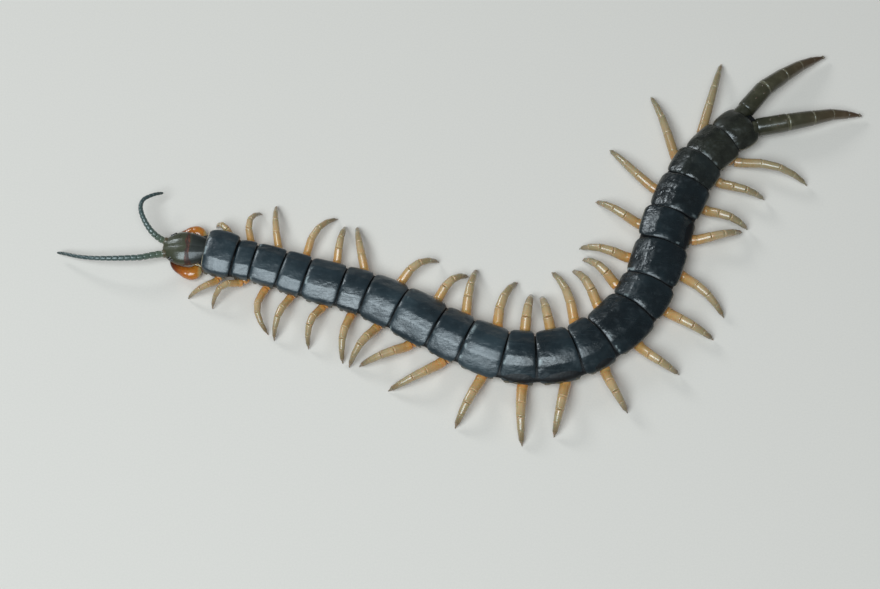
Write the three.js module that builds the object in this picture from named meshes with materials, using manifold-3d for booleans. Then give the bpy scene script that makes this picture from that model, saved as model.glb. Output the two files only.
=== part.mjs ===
import * as THREE from "three";
import Module from "manifold-3d";

// A giant centipede lying still on the floor, head at -X, tail at +X and +Y.
// Millimetres, +Z up, floor at z = 0. Right and left are the animal's own.

// driving sizes: the back plates from head to tail, each [length, width, heading in degrees]
const plates = [
  [7.0, 10.9, -16], [4.1, 9.3, -12], [6.5, 9.5, -17], [5.7, 9.9, -19], [8.0, 10.4, -16],
  [5.8, 10.6, -18], [7.6, 11.2, -25], [9.3, 11.7, -29], [7.0, 11.7, -27], [8.8, 11.8, -22],
  [6.8, 12.0, -7], [8.7, 12.2, 10], [6.6, 12.3, 30], [10.0, 12.4, 44], [7.2, 12.2, 61],
  [9.3, 12.0, 70], [7.7, 11.9, 71], [8.7, 11.7, 65], [6.6, 11.2, 58], [7.6, 10.4, 45],
  [6.7, 9.9, 38],
];
// how many plates each trunk node carries
const plateGroups = [1, 2, 2, 2, 2, 2, 2, 2, 2, 2, 1, 1];
const trunkFront = [-57.3, -2.59];
const bellyHeight = 1.0;
const heightAtNoWidth = 1.65;
const heightPerWidth = 0.415;
const nodeGap = 0.3;

// walking legs from first to twentieth, each [sweep forward, bend along it, reach in mm]
const rightLegs = [
  [66, 20, 5], [0, -90, 8.5], [22, -15, 12], [-14, -60, 12.5], [6, -10, 10.5],
  [28, -10, 12.5], [-29, -50, 11], [-17, -40, 10], [15, -20, 12.5], [1, -50, 13],
  [-3, -15, 10.5], [2, -10, 9.5], [-11, 32, 14.5], [-14, 15, 10.9], [-15, 5, 10.2],
  [4, -10, 11.5], [-15, -25, 12], [-23, -30, 15], [-42, 0, 17.5], [-62, 0, 19.8],
];
const leftLegs = [
  [45, 30, 7.5], [38, -75, 8.5], [-22, -95, 10], [1, -30, 10], [2, -55, 9.5],
  [-9, -35, 10.5], [10, -10, 10.5], [40, 20, 12], [36, 20, 13.5], [6, 0, 12.5],
  [-6, -15, 13], [23, 0, 12], [3, -40, 10.5], [-11, -55, 11], [1, -25, 12.2],
  [25, 15, 13.3], [-33, -30, 12], [-3, -20, 10.6], [-14, -40, 11], [-28, 15, 17],
];
const legLengths = [
  10, 12.5, 12.5, 12.5, 12.5, 12.5, 13.5, 14, 14, 14,
  14, 14, 14, 14, 14, 14, 14, 15, 17.5, 20.5,
];
// where each leg grows, as a share of its plate's length
const rightRootPlaces = [
  0.65, 0.65, 0.65, 0.65, 0.65, 0.65, 0.65, 0.65, 0.62, 0.6,
  0.58, 0.55, 0.52, 0.52, 0.49, 0.5, 0.5, 0.56, 0.68, 0.71,
];
const leftRootPlaces = [
  0.65, 0.65, 0.65, 0.65, 0.65, 0.65, 0.65, 0.65, 0.66, 0.69,
  0.69, 0.64, 0.6, 0.52, 0.49, 0.5, 0.5, 0.56, 0.68, 0.71,
];
const legRootHeight = 0.235;
const legRootOut = { perWidth: 0.4, beyond: 0.65 };
// thickness of the legs at their roots: thickest on the plate numbered here
const legRadii = { first: 0.78, thickest: 1.22, at: 10, last: 1.08 };
// the hip turns part of the way with its leg, and stands from inside the trunk to the leg's root
const hipShare = 0.45;
const hipTurnLimit = 26;
const hipStations = [-2.6, -0.9, 0];
const stubSwell = 1.12;
// joints along a leg as shares of its reach, their lift, and the thickness before each joint
const legJoints = [0, 0.1, 0.35, 0.58, 0.78, 0.92, 1];
const legLift = [0, 0.12, 0.75, 1, 0.8, 0.42, 0];
const legTaper = [1, 0.97, 0.88, 0.75, 0.58, 0.4];
const footFlat = 0.28;
// how the leg's spare length arches it
const archShare = 0.45;
const leastSpare = 28;
const highestArch = 3.5;

// feelers: total length, then headings outward and heights at even steps
const rightFeeler = {
  length: 17,
  headings: [14, 32, 49, 58, 70, 98, 138, 146, 146],
  heights: [3.8, 4.7, 5.4, 5.9, 6.2, 6.0, 5.3, 4.6, 3.4],
};
const leftFeeler = {
  length: 24.3,
  headings: [16, 24, 9, 6, 2, -3, -10, -18, -10],
  heights: [3.8, 4.5, 4.9, 5.0, 4.8, 4.3, 3.6, 2.7, 1.6],
};
const feelerArticles = 18;
const feelerRadius = [0.8, 0.34];

// last pair of legs: article lengths, thickness, tilt, and the heading of each article
const tailLegLengths = [6.9, 6.0, 4.9, 3.8, 2.8, 0.9];
const tailLegRadii = [2.15, 1.8, 1.4, 0.95, 0.6, 0.3];
const tailLegTilts = [4, -6, -10, -12, -14, -16];
const rightTailLeg = [49, 38, 36, 30, 26, 24];
const leftTailLeg = [9, 14, 16, 6, 3, 2];
const tailLegRoot = { right: { sideways: 2.65, beyond: 1.4 }, left: { sideways: 2.25, beyond: 0.5 } };
const tailLegHeight = 3.8;
const tailHipSteps = [[-4.4, 1.5], [-1.4, 2.05], [0, 2.15]];

const headHeading = -5;

const radians = (degrees) => (degrees * Math.PI) / 180;
const ahead = (degrees) => new THREE.Vector3(Math.cos(radians(degrees)), Math.sin(radians(degrees)), 0);
const rightOf = (degrees) => new THREE.Vector3(-Math.sin(radians(degrees)), Math.cos(radians(degrees)), 0);
const up = new THREE.Vector3(0, 0, 1);
const point = (start, ...moves) => {
  const place = start.clone();
  for (const [direction, distance] of moves) place.addScaledVector(direction, distance);
  return place;
};
const mix = (from, to, share) => from + (to - from) * share;
const sample = (values, share) => {
  const place = Math.min(share, 0.9999) * (values.length - 1);
  const low = Math.floor(place);
  return mix(values[low], values[low + 1], place - low);
};

// closed skin over rings of equal count, turned outward
function loft(rings) {
  const count = rings[0].length;
  const spots = rings.flat();
  const faces = [];
  for (let ring = 0; ring < rings.length - 1; ring += 1) {
    for (let i = 0; i < count; i += 1) {
      const a = ring * count + i;
      const b = ring * count + ((i + 1) % count);
      faces.push([a, b, b + count], [a, b + count, a + count]);
    }
  }
  [0, rings.length - 1].forEach((ring, end) => {
    const middle = new THREE.Vector3();
    rings[ring].forEach((spot) => middle.addScaledVector(spot, 1 / count));
    const hub = spots.push(middle) - 1;
    for (let i = 0; i < count; i += 1) {
      const a = ring * count + i;
      const b = ring * count + ((i + 1) % count);
      faces.push(end ? [a, b, hub] : [b, a, hub]);
    }
  });
  let volume = 0;
  for (const [a, b, c] of faces) volume += spots[a].dot(spots[b].clone().cross(spots[c]));
  const outward = volume > 0 ? faces : faces.map(([a, b, c]) => [a, c, b]);
  const geometry = new THREE.BufferGeometry();
  geometry.setAttribute("position", new THREE.Float32BufferAttribute(spots.flatMap((s) => s.toArray()), 3));
  geometry.setIndex(outward.flat());
  return geometry;
}

const wasm = await Module();
wasm.setup();

const toSolid = (geometry) =>
  new wasm.Manifold(new wasm.Mesh({
    numProp: 3,
    vertProperties: new Float32Array(geometry.attributes.position.array),
    triVerts: new Uint32Array(geometry.index.array),
  }));

// joins overlapping skins into one closed body
function fuse(geometries) {
  let solid = toSolid(geometries[0]);
  for (const geometry of geometries.slice(1)) solid = solid.add(toSolid(geometry));
  const largest = solid.decompose().reduce((best, next) => (next.volume() > best.volume() ? next : best));
  const mesh = largest.getMesh();
  const joined = new THREE.BufferGeometry();
  joined.setAttribute("position", new THREE.BufferAttribute(new Float32Array(mesh.vertProperties), 3));
  joined.setIndex(new THREE.BufferAttribute(new Uint32Array(mesh.triVerts), 1));
  return joined;
}

// round skin along stations of { at, facing, side, radius, flatness }
function tube(stations, sides) {
  return loft(stations.map(({ at, facing, side, radius, flatness = 1 }) => {
    const across = side || facing.clone().cross(up).normalize();
    const over = across.clone().cross(facing).normalize();
    return Array.from({ length: sides }, (_, i) => {
      const turn = ((i + 0.5) / sides) * 2 * Math.PI;
      return point(at, [across, radius * Math.cos(turn)], [over, radius * flatness * Math.sin(turn)]);
    });
  }));
}

// straight stub along one direction, from [shift, radius] pairs
function stub(at, facing, steps, sides, flatness = 1) {
  const stations = steps.map(([shift, radius]) =>
    ({ at: point(at, [facing, shift]), facing, radius, flatness }));
  return tube(stations, sides);
}

// where an article swells, and how narrow its joint and its tip are
const swellPlace = { article: 0.76, last: 0.55 };
const neckShare = 0.84;
const tipShare = 0.4;

// jointed limb: swollen before each joint, narrow at it
function limb(joints, radii, firstFacing, sides, foot, flatness = 1, firstSwell = swellPlace.article) {
  const facings = joints.slice(1).map((joint, i) => joint.clone().sub(joints[i]).normalize());
  const stations = [{ at: joints[0], facing: firstFacing, radius: radii[0], flatness }];
  facings.forEach((facing, i) => {
    const last = i === facings.length - 1;
    const share = last ? swellPlace.last : (i ? swellPlace.article : firstSwell);
    const swell = joints[i].clone().lerp(joints[i + 1], share);
    stations.push({ at: swell, facing, radius: radii[i], flatness });
    if (!last) {
      const between = facing.clone().add(facings[i + 1]).normalize();
      const neck = neckShare * Math.min(radii[i], (radii[i] + radii[i + 1]) / 2);
      stations.push({ at: joints[i + 1], facing: between, radius: neck, flatness });
    }
  });
  const tip = joints[joints.length - 1];
  const lastFacing = facings[facings.length - 1];
  const side = lastFacing.clone().cross(up).normalize();
  const onFloor = new THREE.Vector3(0, 0, -1);
  const tipRadius = foot || radii[radii.length - 1] * tipShare;
  stations.push({ at: tip, facing: foot ? onFloor : lastFacing, side, radius: tipRadius });
  return tube(stations, sides);
}

// ends of the plates along the back, and the heading of each joint plane
const backJoints = [new THREE.Vector3(trunkFront[0], trunkFront[1], 0)];
plates.forEach(([length, , heading], i) => backJoints.push(point(backJoints[i], [ahead(heading), length])));
const jointHeadings = backJoints.map((_, i) => {
  const before = i === 0 ? headHeading : plates[i - 1][2];
  const after = i === plates.length ? plates[i - 1][2] : plates[i][2];
  return (before + after) / 2;
});

const bodyHeight = (width) => heightAtNoWidth + heightPerWidth * width;

// half outline of a trunk section: flat top, side slope, rim, recessed flank, belly plate
const trunkOutline = [
  [0, 1], [0.26, 0.992], [0.68, 0.875], [0.9, 0.69], [1, 0.53],
  [0.93, 0.46], [0.8, 0.3], [0.66, 0.04], [0, 0],
];
const headOutline = [
  [0, 1], [0.36, 0.97], [0.7, 0.84], [0.92, 0.62], [1, 0.45],
  [0.93, 0.33], [0.7, 0.22], [0.34, 0.03], [0, 0],
];

function section(outline, middle, heading, halfWidth, bottom, height) {
  const half = (side) => outline.map(([wide, high]) =>
    point(middle, [rightOf(heading), side * wide * halfWidth], [up, bottom + high * height]));
  return [...half(1), ...half(-1).slice(1, -1).reverse()];
}

// stations along one plate: place, share of width, share of height, share of the joint's turn
const plateStations = [
  [0.1, 0.955, 0.965, 0.6], [0.34, 0.99, 0.995, 0.15], [0.68, 1, 1, 0.15], [0.92, 0.99, 1, 0.7],
];
// the first and the last plate are rounder
const firstStations = [
  [0.08, 0.86, 0.93, 0.6], [0.3, 0.98, 0.985, 0.15], [0.62, 1, 1, 0.15], [0.92, 0.94, 0.98, 0.7],
];
const lastStations = [
  [0.1, 0.93, 0.955, 0.6], [0.34, 1, 0.985, 0.15], [0.64, 1, 0.975, 0.15], [0.9, 0.95, 0.93, 0.5],
];
// at a joint the section shrinks to these shares, and the belly rises a little
const jointWidth = 0.925;
const jointRise = 0.925;
const bellyStep = 0.18;
const neighbourPull = 0.4;

function plateRings(i) {
  const [length, width, heading] = plates[i];
  const before = plates[Math.max(i - 1, 0)][1];
  const after = plates[Math.min(i + 1, plates.length - 1)][1];
  const isFirst = i === 0;
  const isLast = i === plates.length - 1;
  const stations = isFirst ? firstStations : isLast ? lastStations : plateStations;
  return stations.map(([place, wide, high, turn]) => {
    const near = place < 0.5 ? jointHeadings[i] : jointHeadings[i + 1];
    const neighbour = place < 0.5 ? before : after;
    const blended = mix(width, neighbour, neighbourPull * (2 * place - 1) ** 2);
    const middle = point(backJoints[i], [ahead(heading), place * length]);
    return section(trunkOutline, middle, mix(heading, near, turn), (blended * wide) / 2,
      bellyHeight, bodyHeight(blended) * high);
  });
}

function jointRing(i, shift, widthShare = jointWidth) {
  const widths = [plates[Math.max(i - 1, 0)][1], plates[Math.min(i, plates.length - 1)][1]];
  const width = Math.min(...widths);
  const middle = point(backJoints[i], [ahead(jointHeadings[i]), shift]);
  return section(trunkOutline, middle, jointHeadings[i], (width * widthShare) / 2,
    bellyHeight + bellyStep, bodyHeight(width) * jointRise - bellyStep);
}

// where a leg leaves the trunk, and the way its hip points
function legRoot(i, side) {
  const [length, width, heading] = plates[i];
  const [sweep, bend] = (side > 0 ? rightLegs : leftLegs)[i];
  const places = side > 0 ? rightRootPlaces : leftRootPlaces;
  const out = rightOf(heading).multiplyScalar(side);
  const towardLeg = (sweep - bend / 2) * hipShare;
  const hipTurn = radians(THREE.MathUtils.clamp(towardLeg, -hipTurnLimit, hipTurnLimit));
  const facing = point(new THREE.Vector3(), [out, Math.cos(hipTurn)], [ahead(heading), -Math.sin(hipTurn)]);
  const { first, thickest, at: middle, last } = legRadii;
  const radius = i < middle ? mix(first, thickest, i / middle)
    : mix(thickest, last, (i - middle) / (legLengths.length - 1 - middle));
  const at = point(backJoints[i], [ahead(heading), length * places[i]],
    [out, legRootOut.perWidth * width + legRootOut.beyond],
    [up, bellyHeight + legRootHeight * bodyHeight(width)]);
  return { at, facing, radius };
}

function hip(i, side) {
  const { at, facing, radius } = legRoot(i, side);
  return stub(at, facing, hipStations.map((shift) => [shift, radius * stubSwell]), 8);
}

// the trunk's front face behind the head, and the narrowing of the last plate
const firstWidth = 7.8;
const lastWidthShare = 0.8;

function trunkNode(group) {
  const first = plateGroups.slice(0, group).reduce((sum, count) => sum + count, 0);
  const count = plateGroups[group];
  const rings = [jointRing(first, nodeGap / 2, first === 0 ? firstWidth / plates[0][1] : jointWidth)];
  for (let i = first; i < first + count; i += 1) {
    rings.push(...plateRings(i));
    if (i < first + count - 1) rings.push(jointRing(i + 1, 0));
  }
  const isTail = first + count === plates.length;
  rings.push(jointRing(first + count, isTail ? 0 : -nodeGap / 2, isTail ? lastWidthShare : jointWidth));
  const pieces = [loft(rings)];
  for (let i = first; i < Math.min(first + count, legLengths.length); i += 1) {
    pieces.push(hip(i, 1), hip(i, -1));
  }
  if (group === 0) pieces.push(...jawBase());
  if (isTail) pieces.push(tailHip(1), tailHip(-1));
  return fuse(pieces);
}

function walkingLeg(i, side) {
  const [sweep, bend, reach] = (side > 0 ? rightLegs : leftLegs)[i];
  const heading = plates[i][2];
  const root = legRoot(i, side);
  const start = point(root.at, [root.facing, nodeGap]);
  const out = rightOf(heading).multiplyScalar(side);
  const turn = radians(sweep);
  const chord = point(new THREE.Vector3(), [out, Math.cos(turn)], [ahead(heading), -Math.sin(turn)]);
  const bowed = point(new THREE.Vector3(), [out, Math.sin(turn)], [ahead(heading), Math.cos(turn)]);
  const travel = reach * (1 + radians(bend) ** 2 / 24);
  const spare = Math.max(legLengths[i] ** 2 - travel ** 2 - start.z ** 2, leastSpare);
  const arch = Math.min(archShare * Math.sqrt(spare), highestArch);
  const joints = legJoints.map((share, j) => point(start, [chord, reach * share],
    [bowed, reach * (radians(bend) / 2) * share * (1 - share)],
    [up, arch * legLift[j] - start.z * share]));
  return limb(joints, legTaper.map((share) => share * root.radius), root.facing, 6, footFlat);
}

// head frame: forward along the head's own axis, from the front of the first plate
const headBase = backJoints[0];
const forward = ahead(headHeading).negate();
const headRight = rightOf(headHeading);
const inHead = (fore, sideways, height) =>
  point(headBase, [forward, fore], [headRight, sideways], [up, height]);

// head stations: forward place, half width, bottom, top
const headStations = [
  [0.9, 3.35, 2.75, 6.0], [2.6, 3.85, 2.75, 6.15], [4.8, 4.1, 2.75, 5.95], [6.6, 3.65, 2.8, 5.5],
  [8.0, 2.75, 2.95, 5.0], [8.9, 1.95, 3.1, 4.6], [9.3, 1.1, 3.3, 4.3],
];
const headRear = { halfWidth: 2.95, bottom: 2.75, top: 5.7 };
const feelerRoot = { fore: 9.15, sideways: 1.55, height: 3.8 };
const feelerSocket = [[-2.2, 0.8], [-0.8, 0.8], [0, 0.8]];
// short palps under the front of the head, as joints, with their thickness
const palpJoints = [[6.6, 1.0, 3.1], [7.9, 0.95, 2.65], [8.9, 0.5, 2.55]];
const palpRadii = [0.5, 0.42];
// four small eyes a side: forward, sideways, height
const eyePlaces = [[7.65, 2.8, 4.3], [7.1, 3.2, 4.2], [7.35, 2.8, 4.62], [6.75, 3.25, 4.6]];
const eyeRadius = 0.3;

function feelerFacing(side, feeler) {
  const turn = radians(feeler.headings[0]);
  return point(new THREE.Vector3(), [forward, Math.cos(turn)], [headRight, side * Math.sin(turn)]);
}

function head() {
  const rearHeading = jointHeadings[0];
  const rearMiddle = point(headBase, [ahead(rearHeading), -nodeGap / 2]);
  const rings = [section(headOutline, rearMiddle, rearHeading, headRear.halfWidth, headRear.bottom,
    headRear.top - headRear.bottom)];
  for (const [fore, halfWidth, bottom, top] of headStations) {
    rings.push(section(headOutline, inHead(fore, 0, 0), headHeading, halfWidth, bottom, top - bottom));
  }
  const pieces = [loft(rings)];
  for (const [side, feeler] of [[1, rightFeeler], [-1, leftFeeler]]) {
    const facing = feelerFacing(side, feeler);
    const at = inHead(feelerRoot.fore, side * feelerRoot.sideways, feelerRoot.height);
    pieces.push(stub(at, facing, feelerSocket, 8));
    const palp = palpJoints.map(([fore, sideways, height]) => inHead(fore, side * sideways, height));
    pieces.push(limb(palp, palpRadii, forward, 6, 0));
    for (const [fore, sideways, height] of eyePlaces) {
      const eye = new THREE.IcosahedronGeometry(eyeRadius, 0);
      const spot = inHead(fore, side * sideways, height);
      pieces.push(welded(eye.translate(spot.x, spot.y, spot.z)));
    }
  }
  return fuse(pieces);
}

// shared corners for a ball made of loose faces
function welded(geometry) {
  const places = geometry.attributes.position;
  const seen = new Map();
  const spots = [];
  const index = [];
  for (let i = 0; i < places.count; i += 1) {
    const spot = [places.getX(i), places.getY(i), places.getZ(i)];
    const key = spot.map((value) => value.toFixed(4)).join();
    if (!seen.has(key)) seen.set(key, spots.push(spot) - 1);
    index.push(seen.get(key));
  }
  const joined = new THREE.BufferGeometry();
  joined.setAttribute("position", new THREE.Float32BufferAttribute(spots.flat(), 3));
  joined.setIndex(index);
  return joined;
}

function feeler(side, { length, headings, heights }, facing) {
  const step = length / feelerArticles;
  const root = inHead(feelerRoot.fore, side * feelerRoot.sideways, feelerRoot.height);
  const joints = [point(root, [facing, nodeGap])];
  for (let i = 0; i < feelerArticles; i += 1) {
    const turn = radians(sample(headings, (i + 0.5) / feelerArticles));
    const rise = sample(heights, (i + 1) / feelerArticles) - joints[i].z;
    const level = Math.sqrt(step ** 2 - rise ** 2);
    joints.push(point(joints[i], [forward, level * Math.cos(turn)],
      [headRight, side * level * Math.sin(turn)], [up, rise]));
  }
  const [thick, thin] = feelerRadius;
  const radii = joints.slice(1).map((_, i) => mix(thick, thin, i / (feelerArticles - 1)));
  return limb(joints, radii, facing, 6, 0);
}

// plate under the head that carries the poison claws: forward place, half width, bottom, top
const jawStations = [
  [-1.6, 3.3, 1.1, 2.3], [0.3, 3.3, 1.1, 2.35], [2.2, 2.7, 1.15, 2.35],
  [4.2, 2.1, 1.3, 2.3], [4.8, 1.9, 1.4, 2.2],
];
const jawOutline = [[0, 1], [0.6, 1], [0.95, 0.8], [1, 0.5], [0.9, 0.15], [0.5, 0], [0, 0]];
const toothPlate = { fore: 4.2, sideways: 0.85, height: 1.8, flatness: 0.45 };
const toothSteps = [[0, 0.75], [0.9, 0.7], [1.5, 0.5]];
const clawStub = [[-2.2, 0.6], [-0.8, 1.02], [0, 1.2]];
const clawFace = { fore: 1.2, sideways: 3.0, height: 2.0, turn: 70, swellPlace: 0.5 };
const clawFlatness = 0.82;
// claw joints: forward, sideways, height
const clawJoints = [
  [1.8, 4.62, 2.1], [3.0, 4.9, 2.1], [4.2, 4.55, 2.05], [5.4, 4.05, 1.95], [6.6, 3.45, 1.85], [7.4, 2.6, 1.7],
];
const clawRadii = [1.2, 1.5, 1.25, 1.0, 0.8, 0.5];

function clawStart(side) {
  const turn = radians(clawFace.turn);
  const facing = point(new THREE.Vector3(), [forward, Math.cos(turn)], [headRight, side * Math.sin(turn)]);
  return { at: inHead(clawFace.fore, side * clawFace.sideways, clawFace.height), facing };
}

function jawBase() {
  const plate = loft(jawStations.map(([fore, halfWidth, bottom, top]) =>
    section(jawOutline, inHead(fore, 0, 0), headHeading, halfWidth, bottom, top - bottom)));
  const { fore, sideways, height, flatness } = toothPlate;
  const sides = [1, -1].flatMap((side) => {
    const { at, facing } = clawStart(side);
    const teeth = stub(inHead(fore, side * sideways, height), forward, toothSteps, 8, flatness);
    return [stub(at, facing, clawStub, 8, clawFlatness), teeth];
  });
  return [plate, ...sides];
}

function poisonClaw(side) {
  const { at, facing } = clawStart(side);
  const joints = [point(at, [facing, nodeGap])];
  for (const [fore, sideways, height] of clawJoints) joints.push(inHead(fore, side * sideways, height));
  return limb(joints, clawRadii, facing, 8, 0, clawFlatness, clawFace.swellPlace);
}

function tailStart(side) {
  const heading = (side > 0 ? rightTailLeg : leftTailLeg)[0];
  const bodyHeading = plates[plates.length - 1][2];
  const { sideways, beyond } = side > 0 ? tailLegRoot.right : tailLegRoot.left;
  const at = point(backJoints[plates.length], [ahead(bodyHeading), beyond],
    [rightOf(bodyHeading), side * sideways], [up, tailLegHeight]);
  return { at, facing: ahead(mix(bodyHeading, heading, 0.5)) };
}

function tailHip(side) {
  const { at, facing } = tailStart(side);
  return stub(at, facing, tailHipSteps, 10);
}

function tailLeg(side) {
  const { at, facing } = tailStart(side);
  const headings = side > 0 ? rightTailLeg : leftTailLeg;
  const joints = [point(at, [facing, nodeGap])];
  tailLegLengths.forEach((length, i) => {
    const tilt = radians(tailLegTilts[i]);
    joints.push(point(joints[i], [ahead(headings[i]), length * Math.cos(tilt)],
      [up, length * Math.sin(tilt)]));
  });
  return limb(joints, tailLegRadii, facing, 8, 0);
}

const paint = (color, roughness) => () => new THREE.MeshStandardMaterial({ color, roughness });
const slatePlate = paint("#2c3a44", 0.38);
const oliveHead = paint("#4a5a4c", 0.38);
const tanLeg = paint("#b9975f", 0.45);
const oliveLeg = paint("#4f5443", 0.42);
const tealFeeler = paint("#2f5551", 0.4);
const amberClaw = paint("#b5651f", 0.35);

const group = new THREE.Group();
function add(name, geometry, material) {
  const mesh = new THREE.Mesh(geometry, material());
  mesh.name = name;
  geometry.computeVertexNormals();
  group.add(mesh);
}

const twoDigits = (number) => String(number).padStart(2, "0");
add("head", head(), oliveHead);
plateGroups.forEach((_, i) => add(`trunk_${twoDigits(i + 1)}`, trunkNode(i), slatePlate));
for (const [side, word, feelerShape] of [[1, "right", rightFeeler], [-1, "left", leftFeeler]]) {
  add(`antenna_${word}`, feeler(side, feelerShape, feelerFacing(side, feelerShape)), tealFeeler);
  add(`forcipule_${word}`, poisonClaw(side), amberClaw);
  for (let i = 0; i < legLengths.length; i += 1) {
    add(`leg_${twoDigits(i + 1)}_${word}`, walkingLeg(i, side), tanLeg);
  }
  add(`leg_21_${word}`, tailLeg(side), oliveLeg);
}

export default group;
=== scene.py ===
import math
import bmesh
import bpy
from mathutils import Matrix, Vector
from mathutils.geometry import interpolate_bezier


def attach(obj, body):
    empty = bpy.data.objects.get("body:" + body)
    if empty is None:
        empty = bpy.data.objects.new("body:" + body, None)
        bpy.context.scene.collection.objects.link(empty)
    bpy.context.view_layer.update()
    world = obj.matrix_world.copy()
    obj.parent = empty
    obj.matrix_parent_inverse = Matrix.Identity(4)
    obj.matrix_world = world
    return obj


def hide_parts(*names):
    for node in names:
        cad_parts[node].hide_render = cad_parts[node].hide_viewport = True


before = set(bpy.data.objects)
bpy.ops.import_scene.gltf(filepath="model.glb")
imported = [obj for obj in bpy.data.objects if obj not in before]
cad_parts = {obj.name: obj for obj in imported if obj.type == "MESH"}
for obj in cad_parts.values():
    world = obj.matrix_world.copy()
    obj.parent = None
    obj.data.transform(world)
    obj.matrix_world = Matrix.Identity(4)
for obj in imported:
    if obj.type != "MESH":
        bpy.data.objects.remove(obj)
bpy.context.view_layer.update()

# A giant centipede, life size. Everything is modelled in millimetres and turned into metres when a
# piece is finished. The trunk is modelled straight along X, then bent along the spine curve.

up = Vector((0, 0, 1))
scene = bpy.context.scene
bothSides = ((1, "right"), (-1, "left"))  # the animal's own
touching = 0.002  # corners nearer than this to a cut are on it


def mix(first, last, share):
    return first + (last - first) * share


def sample(values, share):  # value at a share of the way through evenly spaced values
    place = min(share, 0.9999) * (len(values) - 1)
    low = int(place)
    return mix(values[low], values[low + 1], place - low)


def ahead(degrees):  # level direction from head to tail
    return Vector((math.cos(math.radians(degrees)), math.sin(math.radians(degrees)), 0))


def rightOf(degrees):  # level direction towards the animal's own right
    return Vector((-math.sin(math.radians(degrees)), math.cos(math.radians(degrees)), 0))


# the steps of modelling by hand

def deselectAll():
    if bpy.context.mode != "OBJECT":
        bpy.ops.object.mode_set(mode="OBJECT")
    bpy.ops.object.select_all(action="DESELECT")


def focus(piece):
    deselectAll()
    piece.select_set(True)
    bpy.context.view_layer.objects.active = piece


def edit(piece):
    focus(piece)
    bpy.ops.object.mode_set(mode="EDIT")
    bpy.ops.mesh.select_mode(type="VERT")


def pick(test):  # select the corners whose place passes the test
    body = bmesh.from_edit_mesh(bpy.context.edit_object.data)
    for corner in body.verts:
        corner.select = test(corner.co)
    body.select_flush_mode()


def move(x, y, z):
    bpy.ops.transform.translate(value=(x, y, z))


def stretch(x, y, z, centre):
    bpy.ops.transform.resize(value=(x, y, z), center_override=centre)


def turn(degrees, axis, centre):  # with no window the operator turns the other way
    bpy.ops.transform.rotate(value=-math.radians(degrees), orient_axis=axis, center_override=centre)


def applyModifier(piece, kind, **settings):
    focus(piece)
    modifier = piece.modifiers.new("step", kind)
    for setting, value in settings.items():
        setattr(modifier, setting, value)
    bpy.ops.object.modifier_apply(modifier="step")


def smoothOut(piece, levels):
    applyModifier(piece, "SUBSURF", levels=levels, render_levels=levels)


def shade(piece):
    focus(piece)
    bpy.ops.object.shade_smooth()


def faceOutward(piece):
    edit(piece)
    bpy.ops.mesh.select_all(action="SELECT")
    bpy.ops.mesh.normals_make_consistent(inside=False)
    bpy.ops.object.mode_set(mode="OBJECT")


def applyPlace(piece):
    focus(piece)
    bpy.ops.object.transform_apply(location=True, rotation=True, scale=True)


def ringTube(name, rings, sides, section=None):
    # rings along X: [x, half width, half height, middle height]; a section edits the first ring
    x, wide, high, middle = rings[0]
    deselectAll()
    bpy.ops.mesh.primitive_circle_add(vertices=sides, radius=1, fill_type="NGON",
                                      location=(x, 0, middle), rotation=(0, math.radians(90), 0))
    piece = bpy.context.object
    piece.name = name
    applyPlace(piece)
    edit(piece)
    if section:
        section(Vector((x, 0, middle)))
    bpy.ops.mesh.select_all(action="SELECT")
    stretch(1, wide, high, (x, 0, middle))
    for nextX, nextWide, nextHigh, nextMiddle in rings[1:]:
        bpy.ops.mesh.extrude_region_move(
            TRANSFORM_OT_translate={"value": (nextX - x, 0, nextMiddle - middle)})
        stretch(1, nextWide / wide, nextHigh / high, (nextX, 0, nextMiddle))
        x, wide, high, middle = nextX, nextWide, nextHigh, nextMiddle
    bpy.ops.object.mode_set(mode="OBJECT")
    faceOutward(piece)
    return piece


def cutSheet(name, rows, columns):
    # a sheet cut into rows [x, half width, rim height, crown height] and columns [share, height]
    deselectAll()
    bpy.ops.mesh.primitive_plane_add(size=2, location=(0, 0, 0))
    piece = bpy.context.object
    piece.name = name
    first, last = rows[0][0], rows[-1][0]
    edit(piece)
    bpy.ops.mesh.select_all(action="SELECT")
    stretch((last - first) / 2, 1, 1, (0, 0, 0))
    move((first + last) / 2, 0, 0)
    for row in rows[1:-1]:
        bpy.ops.mesh.select_all(action="SELECT")
        bpy.ops.mesh.bisect(plane_co=(row[0], 0, 0), plane_no=(1, 0, 0))
    for share, height in columns:
        for side in ((1, -1) if share else (1,)):
            if share < 1:
                bpy.ops.mesh.select_all(action="SELECT")
                bpy.ops.mesh.bisect(plane_co=(0, share * side, 0), plane_no=(0, 1, 0))
    for share, height in columns:
        pick(lambda place: abs(abs(place.y) - share) < touching)
        move(0, 0, height)
    for x, halfWidth, rim, crown in rows:
        pick(lambda place: abs(place.x - x) < touching)
        stretch(1, halfWidth, crown - rim, (x, 0, 0))
        move(0, 0, rim)
    bpy.ops.object.mode_set(mode="OBJECT")
    return piece


def frameOf(*columns):  # a place in space from three directions and a spot
    return Matrix([[column[row] for column in columns] for row in range(3)] + [[0, 0, 0, 1]])


def copyOf(master, name, place):
    piece = bpy.data.objects.new(name, master.data.copy())
    bpy.context.collection.objects.link(piece)
    piece.data.transform(place)
    return piece


def joinAll(parts, name):
    focus(parts[0])
    for part in parts:
        part.select_set(True)
    bpy.ops.object.join()
    parts[0].name = name
    return parts[0]


def note(piece, name, value):  # a number kept at each corner, for the materials
    mesh = piece.data
    if name not in mesh.attributes:
        mesh.attributes.new(name=name, type="FLOAT", domain="POINT")
    numbers = [value(corner.co) for corner in mesh.vertices]
    mesh.attributes[name].data.foreach_set("value", numbers)


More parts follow.
